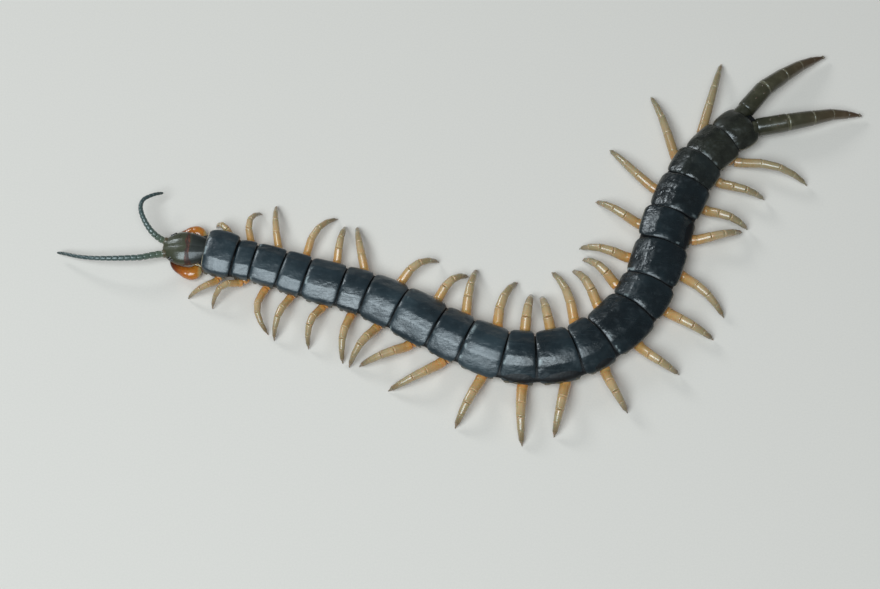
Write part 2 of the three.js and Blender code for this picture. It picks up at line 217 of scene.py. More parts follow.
def noteAlong(piece, start, end):  # how far down the limb, from how far down the article
    mesh = piece.data
    numbers = [0.0] * len(mesh.vertices)
    mesh.attributes["article"].data.foreach_get("value", numbers)
    if start == 0:  # no joint ring at the root
        mesh.attributes["article"].data.foreach_set("value", [max(n, 0.1) for n in numbers])
    mesh.attributes.new(name="along", type="FLOAT", domain="POINT")
    mesh.attributes["along"].data.foreach_set("value", [mix(start, end, n) for n in numbers])


def remove(*pieces):
    for piece in pieces:
        bpy.data.objects.remove(piece, do_unlink=True)


def finishPiece(piece, material, slot, *nodes):
    piece.data.transform(Matrix.Scale(0.001, 4))
    piece.data.materials.clear()
    piece.data.materials.append(material)
    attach(piece, "root")
    if nodes:
        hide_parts(*nodes)
    return piece


# materials are written as sums of sockets

class Wire:  # one output socket that can be used in sums
    def __init__(self, look, socket):
        self.look = look
        self.socket = socket

    def sum(self, operation, first, second):
        return self.look.node("ShaderNodeMath", {"operation": operation}, {0: first, 1: second})

    def __add__(self, other): return self.sum("ADD", self, other)
    def __radd__(self, other): return self.sum("ADD", other, self)
    def __sub__(self, other): return self.sum("SUBTRACT", self, other)
    def __rsub__(self, other): return self.sum("SUBTRACT", other, self)
    def __mul__(self, other): return self.sum("MULTIPLY", self, other)
    def __rmul__(self, other): return self.sum("MULTIPLY", other, self)


class Look:  # a material and its nodes
    def __init__(self, name, **constants):
        self.material = bpy.data.materials.new(name)
        self.material.use_nodes = True
        self.tree = self.material.node_tree
        self.shader = self.tree.nodes["Principled BSDF"]
        for socket, value in constants.items():
            self.shader.inputs[socket.replace("_", " ")].default_value = value
        self.place = self.node("ShaderNodeTexCoord", output="Object")

    def node(self, kind, settings=None, values=None, output=0):
        node = self.tree.nodes.new(kind)
        for setting, value in (settings or {}).items():
            if setting == "stops":
                ramp = node.color_ramp.elements
                while len(ramp) < len(value):
                    ramp.new(0.5)
                for stop, (position, tone) in zip(ramp, value):
                    stop.position = position
                    stop.color = (*tone, 1) if isinstance(tone, tuple) else (tone, tone, tone, 1)
            else:
                setattr(node, setting, value)
        for socket, value in (values or {}).items():
            if isinstance(value, Wire):
                self.tree.links.new(value.socket, node.inputs[socket])
            else:
                node.inputs[socket].default_value = value
        return Wire(self, node.outputs[output])

    def attribute(self, name):
        return self.node("ShaderNodeAttribute", {"attribute_name": name}, output="Fac")

    def noise(self, scale, detail=3, rough=0.55, where=None):
        return self.node("ShaderNodeTexNoise", values={
            "Vector": where or self.place, "Scale": scale, "Detail": detail, "Roughness": rough})

    def cells(self, scale):
        return self.node("ShaderNodeTexVoronoi", values={"Vector": self.place, "Scale": scale},
                         output="Distance")

    def onPlate(self):  # shares of a plate: along it, across it, and out from its middle line
        uv = self.node("ShaderNodeUVMap", {"uv_map": "UVMap"})
        parts = self.node("ShaderNodeSeparateXYZ", values={0: uv}).socket.node
        along, across = Wire(self, parts.outputs["X"]), Wire(self, parts.outputs["Y"])
        edge = self.node("ShaderNodeMath", {"operation": "ABSOLUTE"}, {0: across - 0.5}) * 2
        return along, across, edge

    def mapped(self, scale, turned=(0, 0, 0)):
        return self.node("ShaderNodeMapping", values={
            "Vector": self.place, "Scale": scale, "Rotation": turned})

    def ramp(self, factor, *stops):
        return self.node("ShaderNodeValToRGB", {"stops": stops}, {"Fac": factor})

    def range(self, value, low, high, newLow=0.0, newHigh=1.0):
        return self.node("ShaderNodeMapRange", {"interpolation_type": "SMOOTHSTEP"}, {
            "Value": value, "From Min": low, "From Max": high, "To Min": newLow, "To Max": newHigh})

    def blend(self, factor, first, second):
        colours = [(*tone, 1) if isinstance(tone, tuple) else tone for tone in (first, second)]
        return self.node("ShaderNodeMix", {"data_type": "RGBA"}, {
            0: factor, 6: colours[0], 7: colours[1]}, output=2)

    def bumps(self, *heights):  # each [height, strength, distance in metres]
        normal = None
        for height, strength, distance in heights:
            values = {"Height": height, "Strength": strength, "Distance": distance}
            if normal:
                values["Normal"] = normal
            normal = self.node("ShaderNodeBump", values=values)
        return normal

    def finish(self, colour=None, roughness=None, normal=None, coat=None):
        for socket, wire in (("Base Color", colour), ("Roughness", roughness), ("Normal", normal),
                             ("Coat Weight", coat)):
            if wire:
                self.tree.links.new(wire.socket, self.shader.inputs[socket])
        return self.material


# camera, floor and light

view = {
    "elevation": 67, "distance": 475.466, "target": (-6.0, -13.39, 4.755),
    "lens": 90, "sensor": 36, "clip": (0.01, 20),
}


def makeCamera():
    steep = math.radians(view["elevation"])
    target = Vector(view["target"])
    eye = target + Vector((0, -math.cos(steep), math.sin(steep))) * view["distance"]
    data = bpy.data.cameras.new("camera")
    data.lens = view["lens"]
    data.sensor_width = view["sensor"]
    data.clip_start, data.clip_end = view["clip"]
    camera = bpy.data.objects.new("camera", data)
    camera.location = eye * 0.001
    camera.rotation_euler = (math.radians(90 - view["elevation"]), 0, 0)
    bpy.context.collection.objects.link(camera)
    scene.camera = camera


studio = {
    "floor": (0.735, 0.665, 0.60), "floorSize": 6, "speckScale": 2500, "speckLighter": 1.03,
    "world": (0.90, 0.94, 1.0), "worldStrength": 0.12,
    # each light: place, size in metres, watts, colour
    "lights": [
        [(-0.34, -0.40, 0.90), 0.72, 9.4, (0.80, 0.93, 1.0)],
        [(-0.617, 0.602, 0.505), 0.28, 2.2, (0.86, 0.95, 1.0)],
        [(0.13, -0.385, 0.91), 0.28, 1.2, (0.84, 0.95, 1.0)],
    ],
}


def makeStudio():
    deselectAll()
    bpy.ops.mesh.primitive_plane_add(size=studio["floorSize"], location=(0, 0, 0))
    floor = bpy.context.object
    floor.name = "floor"
    look = Look("floorPaper", Roughness=0.85)
    speck = look.noise(studio["speckScale"])
    tone = look.blend(look.range(speck, 0.3, 0.7), studio["floor"],
                      tuple(value * studio["speckLighter"] for value in studio["floor"]))
    floor.data.materials.append(look.finish(tone, normal=look.bumps([speck, 0.05, 0.00005])))
    for number, (place, size, watts, colour) in enumerate(studio["lights"]):
        data = bpy.data.lights.new(f"softBox{number + 1}", "AREA")
        data.shape = "DISK"
        data.size = size
        data.energy = watts
        data.color = colour
        lamp = bpy.data.objects.new(data.name, data)
        lamp.location = place
        lamp.rotation_euler = (-Vector(place)).to_track_quat("-Z", "Y").to_euler()
        bpy.context.collection.objects.link(lamp)
    world = bpy.data.worlds.new("studio")
    world.use_nodes = True
    background = world.node_tree.nodes["Background"]
    background.inputs["Color"].default_value = (*studio["world"], 1)
    background.inputs["Strength"].default_value = studio["worldStrength"]
    scene.world = world
    scene.view_settings.view_transform = "Standard"


makeCamera()
makeStudio()
print("camera and studio made")


# the line that the body is bent along

trunk = {
    "plates": [  # length, width, heading in degrees
        (7.0, 10.9, -16), (4.1, 9.3, -12), (6.5, 9.5, -17), (5.7, 9.9, -19), (8.0, 10.4, -16),
        (5.8, 10.6, -18), (7.6, 11.2, -25), (9.3, 11.7, -29), (7.0, 11.7, -27), (8.8, 11.8, -22),
        (6.8, 12.0, -7), (8.7, 12.2, 10), (6.6, 12.3, 30), (10.0, 12.4, 44), (7.2, 12.2, 61),
        (9.3, 12.0, 70), (7.7, 11.9, 71), (8.7, 11.7, 65), (6.6, 11.2, 58), (7.6, 10.4, 45),
        (6.7, 9.9, 38),
    ],
    "front": (-57.3, -2.59, 0), "headHeading": -5, "belly": 1.0,
    "heightAtNoWidth": 1.65, "heightPerWidth": 0.415,
    "lead": 12, "run": 9,  # how far the curve goes on past the front and the rear joint
}
plates = trunk["plates"]
backJoints = [Vector(trunk["front"])]
for length, width, heading in plates:
    backJoints.append(backJoints[-1] + ahead(heading) * length)
headings = [trunk["headHeading"]] + [plate[2] for plate in plates] + [plates[-1][2]]
jointHeadings = [(before + after) / 2 for before, after in zip(headings, headings[1:])]


def bodyHeight(width):
    return trunk["heightAtNoWidth"] + trunk["heightPerWidth"] * width


def makeSpine():  # the curve, and how far along it each back joint is
    forward = -ahead(trunk["headHeading"])
    places = [backJoints[0] + forward * trunk["lead"], *backJoints,
              backJoints[-1] + ahead(plates[-1][2]) * trunk["run"]]
    ways = [trunk["headHeading"], *jointHeadings, plates[-1][2]]
    data = bpy.data.curves.new("spine", "CURVE")
    data.dimensions = "2D"
    data.resolution_u = 32
    line = data.splines.new("BEZIER")
    line.bezier_points.add(len(places) - 1)
    for i, (knot, place, way) in enumerate(zip(line.bezier_points, places, ways)):
        before = (place - places[max(i - 1, 0)]).length / 3
        after = (places[min(i + 1, len(places) - 1)] - place).length / 3
        knot.handle_left_type = knot.handle_right_type = "FREE"
        knot.co = place
        knot.handle_left = place - ahead(way) * before
        knot.handle_right = place + ahead(way) * after
    spine = bpy.data.objects.new("spine", data)
    bpy.context.collection.objects.link(spine)
    runs = [0.0]
    for knot, after in zip(line.bezier_points, line.bezier_points[1:]):
        dots = interpolate_bezier(knot.co, knot.handle_right, after.handle_left, after.co, 33)
        runs.append(runs[-1] + sum((b - a).length for a, b in zip(dots, dots[1:])))
    return spine, runs[1:-1]


spine, backRuns = makeSpine()


def bend(piece):
    applyModifier(piece, "CURVE", object=spine, deform_axis="POS_X")


def tailShare(i):
    return i / (len(plates) - 1)


# materials: a ramp is a list of places and colours, and noise scales count in metres

slateLook = {
    "front": [(0.30, (0.006, 0.013, 0.017)), (0.52, (0.011, 0.023, 0.030)),
              (0.72, (0.022, 0.040, 0.049))],
    "rear": [(0.30, (0.003, 0.006, 0.008)), (0.52, (0.006, 0.012, 0.015)),
             (0.72, (0.012, 0.023, 0.028))],
    "lastPlates": [(0.3, (0.009, 0.010, 0.007)), (0.7, (0.024, 0.025, 0.016))],
    # the pale marks are partly wear and partly painted glints along the plates' front edges
    "dust": (0.050, 0.066, 0.074), "scratch": (0.075, 0.10, 0.11), "glintAndWear": (0.30, 0.35, 0.35),
    # the near-black at both ends of each plate is painted shade in the gaps between plates
    "ends": (0.0015, 0.002, 0.003), "rim": (0.26, 0.23, 0.16), "collar": (0.50, 0.42, 0.28),
}


def makeSlate():  # the back: blue-black satin, finely wrinkled across; pale marks near the plates' front edges are partly wear and partly painted glints, and both ends of each plate are darkened with painted shade
    look = Look("slateBack", Specular_IOR_Level=0.62, Coat_Roughness=0.28)
    along, across, edge = look.onPlate()
    tail = look.attribute("tail")
    clouds = look.noise(110, 5, 0.6)
    grime = look.noise(520, 4, 0.62)
    wrinkles = look.noise(1, 4, 0.6, look.mapped((420, 900, 500), (0, 0, 0.5)))
    pits = look.cells(2600)
    scratches = look.noise(1, 2, 0.5, look.mapped((240, 3800, 600), (0, 0, 0.9)))
    front, rear = look.ramp(clouds, *slateLook["front"]), look.ramp(clouds, *slateLook["rear"])
    base = look.blend(look.range(tail, 0.42, 0.66), front, rear)
    olive = look.ramp(grime, *slateLook["lastPlates"])
    tone = look.blend(look.range(tail, 0.82, 0.97), base, olive)
    tone = look.blend(look.range(grime, 0.55, 0.8) * 0.35, tone, slateLook["dust"])
    tone = look.blend(look.range(scratches, 0.64, 0.72) * look.range(tail, 0.42, 0.66, 0.3, 0.1),
                      tone, slateLook["scratch"])
    patches = look.noise(130, 2, 0.5)
    # pale marks near each plate's front edge: partly wear, partly painted glints standing in for
    # highlights along the joints
    glintAndWear = (look.range(along, 0.03, 0.06) * look.range(along, 0.15, 0.07)
            * look.range(grime, 0.52, 0.62) * look.range(patches, 0.50, 0.60))
    tone = look.blend(glintAndWear * look.range(tail, 0.85, 0.97, 0.85, 0.25), tone, slateLook["glintAndWear"])
    # both ends of each plate painted near-black: painted shade in the gaps between the plates
    ends = look.range(along, 0.975, 0.995) + look.range(along, 0.035, 0.008)
    tone = look.blend(ends * 0.9, tone, slateLook["ends"])
    rim = look.range(edge, 0.955, 0.99) * look.range(tail, 0.45, 0.85, 0.12, 1.0)
    collar = look.range(tail, 0.03, 0.01) * look.range(along, 0.05, 0.03)
    tone = look.blend(rim * 0.75, tone, slateLook["rim"])
    tone = look.blend(collar * look.range(edge, 0.3, 0.85, 0.08, 0.9), tone, slateLook["collar"])
    rough = (look.range(clouds, 0.3, 0.75, 0.30, 0.44) + look.range(grime, 0.35, 0.75, -0.05, 0.10)
             + ends * 0.2 - look.range(tail, 0.42, 0.66, 0, 0.07))
    dents = look.noise(1, 3, 0.5, look.mapped((260, 420, 300), (0, 0, -0.3)))
    calm = look.range(tail, 0.46, 0.68, 1.0, 0.4)  # the rear plates are smoother
    normal = look.bumps([clouds, 0.5, 0.0010], [dents, 0.45, 0.0007],
                        [wrinkles * calm, 0.24, 0.00022],
                        [look.range(pits, 0.05, 0.22) * calm, 0.2, 0.00006],
                        [scratches * calm, 0.25, 0.00010])
    return look.finish(tone, rough, normal, look.range(tail, 0.42, 0.66, 0.55, 0.08))


headLook = {
    "front": [(0.3, (0.024, 0.027, 0.013)), (0.7, (0.060, 0.061, 0.034))],
    # the rear colours are darker as painted shade on the backward-sloping rear of the head plate
    "rear": [(0.3, (0.006, 0.009, 0.007)), (0.7, (0.020, 0.023, 0.018))],
    "strip": (0.036, 0.010, 0.005), "streak": (0.13, 0.040, 0.020),
    "edge": (0.13, 0.060, 0.025), "back": (0.30, 0.24, 0.16),
}


def makeHeadTone():  # olive in front, a red-brown strip across the middle, darker behind with painted shade on the backward slope
    look = Look("oliveHead", Specular_IOR_Level=0.5, Coat_Roughness=0.15)
    along, across, edge = look.onPlate()
    clouds = look.noise(260, 5, 0.6)
    grain = look.noise(1100, 4, 0.6)
    pits = look.cells(3000)
    wavy = along + (clouds - 0.5) * 0.22 + (grain - 0.5) * 0.08
    # the rear of the head plate takes the darker colours: painted shade where the plate slopes down
    # behind the strip
    front, rear = look.ramp(clouds, *headLook["front"]), look.ramp(clouds, *headLook["rear"])
    tone = look.blend(look.range(wavy, 0.34, 0.46), rear, front)
    strip = (look.range(wavy + across * 0.11, 0.44, 0.47)
             * look.range(wavy + across * 0.03, 0.52, 0.495))
    streaks = look.noise(1, 4, 0.7, look.mapped((2200, 500, 700)))
    tone = look.blend(strip * look.range(streaks, 0.32, 0.46), tone, headLook["strip"])
    tone = look.blend(strip * look.range(streaks, 0.52, 0.60), tone, headLook["streak"])
    tone = look.blend(look.range(edge, 0.93, 1.0) * 0.6, tone, headLook["edge"])
    tone = look.blend(look.range(along, 0.035, 0.0) * 0.7, tone, headLook["back"])
    rough = (look.range(clouds, 0.3, 0.7, 0.24, 0.33) + look.range(wavy, 0.44, 0.36) * 0.18
             + strip * 0.25)
    normal = look.bumps([clouds, 0.4, 0.0005], [grain, 0.25, 0.0001],
                        [look.range(pits, 0.05, 0.25), 0.3, 0.00006])
    return look.finish(tone, rough, normal, 0.35 - strip * 0.3)


def makeSkinTone():  # soft joint skin between the plates: folded, dull olive brown, painted near-black on top as shade in the gaps between the back plates
    look = Look("jointSkin", Specular_IOR_Level=0.4, Subsurface_Weight=0.08,
                Subsurface_Scale=0.0006)
    clouds = look.noise(330, 5, 0.6)
    folds = look.noise(1, 4, 0.6, look.mapped((1600, 1600, 500)))
    tone = look.ramp(clouds, (0.3, (0.060, 0.058, 0.045)), (0.7, (0.155, 0.138, 0.098)))
    tone = look.blend(look.range(folds, 0.45, 0.65) * 0.5, tone, (0.030, 0.032, 0.028))
    # the upper part of the skin, seen only in the gaps between the back plates, is painted
    # near-black: painted shade in those gaps
    height = look.attribute("height")
    tone = look.blend(look.range(height, 0.40, 0.56), tone, (0.003, 0.004, 0.005))
    rough = look.range(clouds, 0.3, 0.7, 0.42, 0.6)
    return look.finish(tone, rough, look.bumps([folds, 0.5, 0.0002], [clouds, 0.3, 0.0003]))


def makeBellyTone():  # belly plates: smooth, warm grey olive
    look = Look("bellyPlate", Specular_IOR_Level=0.55, Coat_Weight=0.2, Coat_Roughness=0.25)
    clouds = look.noise(200, 5, 0.6)
    grain = look.noise(1500, 3)
    tone = look.ramp(clouds, (0.3, (0.105, 0.088, 0.058)), (0.7, (0.215, 0.175, 0.115)))
    tone = look.blend(look.range(grain, 0.5, 0.75) * 0.3, tone, (0.07, 0.055, 0.035))
    rough = look.range(clouds, 0.3, 0.7, 0.30, 0.42)
    return look.finish(tone, rough, look.bumps([clouds, 0.3, 0.0003], [grain, 0.2, 0.00006]))


def makeLegTone(name, stops, jointTone, roughs, rearTone=None, **constants):
    # the colour runs down the limb, with a thin pale ring at each joint
    look = Look(name, **constants)
    along, article = look.attribute("along"), look.attribute("article")
    clouds = look.noise(420, 4, 0.6)
    fine = look.noise(2600, 3, 0.6)
    tone = look.ramp(along + (clouds - 0.5) * 0.14, *stops)
    if rearTone:
        tone = look.blend(look.range(look.attribute("tail"), 0.68, 0.98) * 0.62, tone, rearTone)
    tone = look.blend(look.range(clouds, 0.45, 0.75) * 0.12, tone, jointTone)
    tone = look.blend(look.range(fine, 0.6, 0.8) * 0.25, tone, (0.10, 0.07, 0.035))
    ring = look.range(article, 0.06, 0.02) + look.range(article, 0.965, 0.985)
    tone = look.blend(ring * 0.3, tone, jointTone)
    dusk = look.range(article, 0.84, 0.94) * look.range(article, 0.97, 0.95)
    tone = look.blend(dusk * 0.12, tone, (0.05, 0.04, 0.02))
    rough = look.range(clouds, 0.3, 0.7, *roughs)
    normal = look.bumps([clouds, 0.25, 0.0003], [fine, 0.25, 0.00006])
    return look.finish(tone, rough, normal)


def makeHeadSide():  # sides and mouth parts of the head: olive brown with paler brown flecks
    look = Look("headSide", Specular_IOR_Level=0.55, Coat_Weight=0.25, Coat_Roughness=0.22)
    clouds = look.noise(400, 5, 0.6)
    fine = look.noise(2200, 3)
    tone = look.ramp(clouds, (0.3, (0.040, 0.038, 0.022)), (0.7, (0.120, 0.088, 0.045)))
    tone = look.blend(look.range(fine, 0.55, 0.75) * 0.3, tone, (0.22, 0.13, 0.06))
    rough = look.range(clouds, 0.3, 0.7, 0.26, 0.40)
    return look.finish(tone, rough, look.bumps([clouds, 0.3, 0.0002], [fine, 0.25, 0.00005]))


def makeEyeTone():  # small domed eyes, black with a brown depth
    look = Look("blackEye", Specular_IOR_Level=0.8, Coat_Weight=1.0, Coat_Roughness=0.04)
    clouds = look.noise(1500, 2)
    tone = look.ramp(clouds, (0.3, (0.004, 0.004, 0.004)), (0.7, (0.020, 0.012, 0.007)))
    rough = look.range(clouds, 0.3, 0.7, 0.08, 0.16)
    return look.finish(tone, rough, look.bumps([clouds, 0.05, 0.00003]))


slate = makeSlate()
headSide = makeHeadSide()
eyeTone = makeEyeTone()
headTone = makeHeadTone()
skinTone = makeSkinTone()
bellyTone = makeBellyTone()
tanLegTone = makeLegTone(
    "tanLeg", [(0.0, (0.60, 0.255, 0.060)), (0.18, (0.55, 0.305, 0.105)),
               (0.42, (0.50, 0.345, 0.175)), (0.75, (0.34, 0.255, 0.135)),
               (1.0, (0.11, 0.068, 0.032))],
    (0.56, 0.43, 0.25), (0.20, 0.32), (0.24, 0.20, 0.115), Specular_IOR_Level=0.6,
    Subsurface_Weight=0.3, Subsurface_Scale=0.0012, Coat_Weight=0.6, Coat_Roughness=0.14)
oliveLegTone = makeLegTone(
    "oliveTailLeg", [(0.0, (0.020, 0.020, 0.010)), (0.08, (0.034, 0.032, 0.016)),
                     (0.40, (0.050, 0.043, 0.022)), (0.75, (0.070, 0.046, 0.023)),
                     (1.0, (0.075, 0.038, 0.020))],
    (0.30, 0.27, 0.17), (0.28, 0.38), Specular_IOR_Level=0.5, Coat_Weight=0.6, Coat_Roughness=0.17)
feelerTone = makeLegTone(
    "tealFeeler", [(0.0, (0.100, 0.125, 0.080)), (0.25, (0.068, 0.100, 0.088)),
                   (0.7, (0.042, 0.068, 0.068)), (1.0, (0.038, 0.052, 0.048))],
    (0.19, 0.23, 0.21), (0.18, 0.30), Specular_IOR_Level=0.6, Coat_Weight=0.4, Coat_Roughness=0.18)
clawTone = makeLegTone(
    "amberClaw", [(0.0, (0.62, 0.50, 0.27)), (0.10, (0.56, 0.38, 0.14)),
                  (0.17, (0.50, 0.175, 0.018)), (0.6, (0.40, 0.105, 0.009)),
                  (0.84, (0.14, 0.026, 0.005)), (1.0, (0.018, 0.007, 0.004))],
    (0.50, 0.24, 0.07), (0.16, 0.26), Specular_IOR_Level=0.65, Subsurface_Weight=0.2,
    Subsurface_Scale=0.0010, Coat_Weight=0.6, Coat_Roughness=0.12)
print("materials made")


# the articles that all limbs are made of

article = {
    "sides": 12,
    # along the article: place, share of thickness
    "leg": [(-0.05, 0.75), (-0.01, 0.925), (0.03, 0.965), (0.10, 0.975), (0.3, 0.98), (0.6, 0.99),
            (0.85, 1.0), (0.94, 1.0), (0.975, 0.99), (1.0, 0.955), (1.02, 0.78)],
    "bead": [(-0.08, 0.5), (0.0, 0.78), (0.07, 0.90), (0.25, 0.96), (0.6, 1.0), (0.86, 1.0),
             (0.96, 0.93), (1.0, 0.72)],
    "foot": [(-0.05, 0.45), (0.0, 0.66), (0.05, 0.86), (0.2, 0.94), (0.6, 0.86), (0.86, 0.66),
             (0.97, 0.5), (1.0, 0.3)],
    "claw": [(-0.2, 0.8), (0.0, 1.0), (0.25, 0.86), (0.5, 0.62), (0.75, 0.38), (1.0, 0.12)],
}


def articleMaster(name, profile, levels=1, droop=0):
    rings = [[x, radius, radius, -droop * max(x, 0) ** 2] for x, radius in profile]
    piece = ringTube(name, rings, article["sides"])
    smoothOut(piece, levels)
    shade(piece)
    note(piece, "article", lambda corner: min(max(corner.x, 0), 1))
    return piece


def frameAlong(start, end, thick):  # unit article laid from start to end
    axis = end - start
    way = axis.normalized()
    side = way.cross(up).normalized()
    over = side.cross(way)
    return frameOf(axis, over.cross(way) * thick, over * thick, start)


# joint skin under the plates, from the head to the rear joint

bodySkin = {
    "sides": 24, "inset": 0.95, "crownDrop": 0.62, "bellyGap": 0.22, "foldGap": 0.25, "neck": 0.86,
    # bands of the round section: from and to a height, stretch across and upward, about a height;
    # they give a flat belly, a fold low on each flank, and shoulders kept below the plates
    "section": [(-9, -0.6, 1.08, 0.45, -0.78), (-0.45, -0.2, 0.93, 1, 0), (0.4, 0.98, 1, 0.8, 0)],
    # along one plate: place, share of width, share of height
    "steps": [(0.0, 0.91, 0.90), (0.2, 0.965, 0.965), (0.55, 1.0, 1.0), (0.86, 0.985, 0.98)],
    # head part: forward place, half width, bottom, top
    "head": [(8.9, 0.9, 3.45, 3.95), (8.6, 1.7, 3.15, 4.25), (7.8, 2.5, 3.0, 4.6),
             (6.4, 3.35, 2.85, 5.0), (4.6, 3.75, 2.8, 5.4), (2.6, 3.55, 2.8, 5.55),
             (0.9, 3.0, 2.6, 5.4)],
    # past the last back joint: place, half width, bottom, top
    "tail": [(0.0, 3.9, 2.3, 5.0), (0.9, 3.3, 2.9, 4.7), (1.5, 2.2, 3.3, 4.4),
             (1.8, 1.1, 3.5, 4.1)],
}


def skinSection(middle):
    for low, high, wide, tall, about in bodySkin["section"]:
        pick(lambda place: low < place.z - middle.z < high)
        stretch(1, wide, tall, (middle.x, 0, middle.z + about))


def makeBodySkin():
    rings = []
    for fore, halfWidth, bottom, top in bodySkin["head"]:
        rings.append([backRuns[0] - fore, halfWidth, (top - bottom) / 2, (top + bottom) / 2])
    for i, (length, width, heading) in enumerate(plates):
        before = plates[max(i - 1, 0)][1]
        run = backRuns[i + 1] - backRuns[i]
        for place, wide, high in bodySkin["steps"]:
            here = mix(before, width, 0.5 + place) if place < 0.5 else width
            narrow = bodySkin["neck"] if i == 0 and place == 0 else 1
            bottom = (trunk["belly"] + bodySkin["bellyGap"]
                      + (bodySkin["foldGap"] if place == 0 else 0))
            top = trunk["belly"] + bodyHeight(here) * high - bodySkin["crownDrop"]
            rings.append([backRuns[i] + run * place, here / 2 * bodySkin["inset"] * wide * narrow,
                          (top - bottom) / 2, (top + bottom) / 2])
    for beyond, halfWidth, bottom, top in bodySkin["tail"]:
        rings.append([backRuns[-1] + beyond, halfWidth, (top - bottom) / 2, (top + bottom) / 2])
    piece = ringTube("bodySkin", rings, bodySkin["sides"], skinSection)
    smoothOut(piece, 1)
    note(piece, "height", lambda corner: (corner.z - trunk["belly"]) / 6)
    bend(piece)
    shade(piece)
    trunkNodes = [f"trunk_{number:02d}" for number in range(1, 13)]
    return finishPiece(piece, skinTone, "back_cuticle", *trunkNodes)


makeBodySkin()
print("joint skin made")


# back plates

backPlate = {
    "wall": 0.28, "tuck": -0.08, "lap": -0.08,
    # along the plate: place, share of half width, rim height, crown height (shares of body height)
    "rows": [(0.0, 0.90, 0.555, 0.905), (0.03, 0.93, 0.54, 0.945), (0.10, 0.965, 0.53, 0.977),
             (0.28, 0.993, 0.515, 0.995), (0.55, 1.0, 0.51, 1.0), (0.78, 1.0, 0.51, 1.002),
             (0.91, 0.992, 0.515, 0.997), (0.97, 0.97, 0.53, 0.978), (1.0, 0.935, 0.55, 0.938)],
    # the first plate is a rounded collar
    "firstRows": [(0.0, 0.72, 0.58, 0.85), (0.03, 0.80, 0.555, 0.895), (0.10, 0.90, 0.535, 0.945),
                  (0.26, 0.98, 0.515, 0.985), (0.52, 1.0, 0.51, 1.0), (0.76, 0.985, 0.51, 0.998),
                  (0.91, 0.945, 0.52, 0.985), (0.97, 0.905, 0.54, 0.965), (1.0, 0.86, 0.56, 0.925)],
    # the last plate is rounder, narrow in front and drawn in behind
    "lastRows": [(0.0, 0.86, 0.56, 0.87), (0.035, 0.90, 0.545, 0.91), (0.11, 0.955, 0.52, 0.955),
                 (0.28, 1.01, 0.50, 0.98), (0.50, 1.04, 0.48, 0.985), (0.70, 1.03, 0.48, 0.97),
                 (0.86, 0.98, 0.50, 0.94), (0.95, 0.90, 0.53, 0.89), (1.0, 0.80, 0.56, 0.83)],
    # across a plate: share of half width, height from rim to crown; front ones are flatter on top
    "frontColumns": [(0, 1.0), (0.12, 0.998), (0.24, 0.985), (0.42, 0.950), (0.45, 0.936),
                     (0.48, 0.913), (0.52, 0.878), (0.64, 0.768), (0.78, 0.645), (0.895, 0.540),
                     (0.955, 0.415), (0.99, 0.17), (1.0, 0.0)],
    "columns": [(0, 1.0), (0.11, 0.995), (0.16, 0.977), (0.355, 0.872), (0.38, 0.857),
                (0.415, 0.835), (0.455, 0.800), (0.60, 0.628), (0.76, 0.438), (0.88, 0.290),
                (0.94, 0.165), (0.985, 0.055), (1.0, 0.0)],
    "frontUntil": 4, "between": (5, 6),  # plates with the front shape, and half way between
    # degrees that a plate leans to its left, about a share of its height
    "roll": {10: 2.5, 11: 7, 12: 7, 13: 5, 15: -3, 16: -4, 17: 7, 18: -3}, "rollAbout": 0.75,
    # outer corners, rounded in steps: reach from the end, from what share of the width, move inward
    "corners": [(0.002, 0.72, 0.02), (0.08, 0.88, 0.036), (0.104, 0.93, 0.028)],
}


def plateMaster(name, rows, columns):
    piece = cutSheet(name, rows, columns)
    edit(piece)
    for x, way in ((rows[0][0], 1), (rows[-1][0], -1)):
        for reach, beyond, inward in backPlate["corners"]:
            pick(lambda place: abs(place.x - x) < reach and abs(place.y) > beyond)
            move(way * inward, 0, 0)
    bpy.ops.object.mode_set(mode="OBJECT")
    smoothOut(piece, 1)
    return piece


def makeBackPlates():
    front, rear = backPlate["frontColumns"], backPlate["columns"]
    half = [(mix(a[0], b[0], 0.5), mix(a[1], b[1], 0.5)) for a, b in zip(front, rear)]
    firstPlate = plateMaster("firstPlate", backPlate["firstRows"], front)
    frontPlate = plateMaster("frontPlate", backPlate["rows"], front)
    halfPlate = plateMaster("halfPlate", backPlate["rows"], half)
    common = plateMaster("commonPlate", backPlate["rows"], rear)
    lastPlate = plateMaster("lastPlate", backPlate["lastRows"], rear)
    masters = [firstPlate] + [common] * (len(plates) - 2) + [lastPlate]
    masters[1:backPlate["frontUntil"]] = [frontPlate] * (backPlate["frontUntil"] - 1)
    for number in backPlate["between"]:
        masters[number - 1] = halfPlate
    for i, (master, (length, width, heading)) in enumerate(zip(masters, plates)):
        start = backRuns[i] - backPlate["tuck"]
        run = backRuns[i + 1] + backPlate["lap"] - start
        high = bodyHeight(width)
        middle = high * backPlate["rollAbout"]
        pivot = Matrix.Translation((start, 0, trunk["belly"] + middle))
        roll = Matrix.Rotation(math.radians(backPlate["roll"].get(i + 1, 0)), 4, "X")
        place = (pivot @ roll @ Matrix.Translation((0, 0, -middle))
                 @ Matrix.Diagonal((run, width / 2, high, 1)))
        piece = copyOf(master, f"tergite_{i + 1:02d}", place)
        note(piece, "tail", lambda corner: tailShare(i))
        applyModifier(piece, "SOLIDIFY", thickness=backPlate["wall"], offset=-1,
                      use_even_offset=True)
        smoothOut(piece, 1)
        bend(piece)
        shade(piece)
        finishPiece(piece, slate, "back_cuticle")
    remove(firstPlate, frontPlate, halfPlate, common, lastPlate)


makeBackPlates()
print("back plates made")


# belly plates

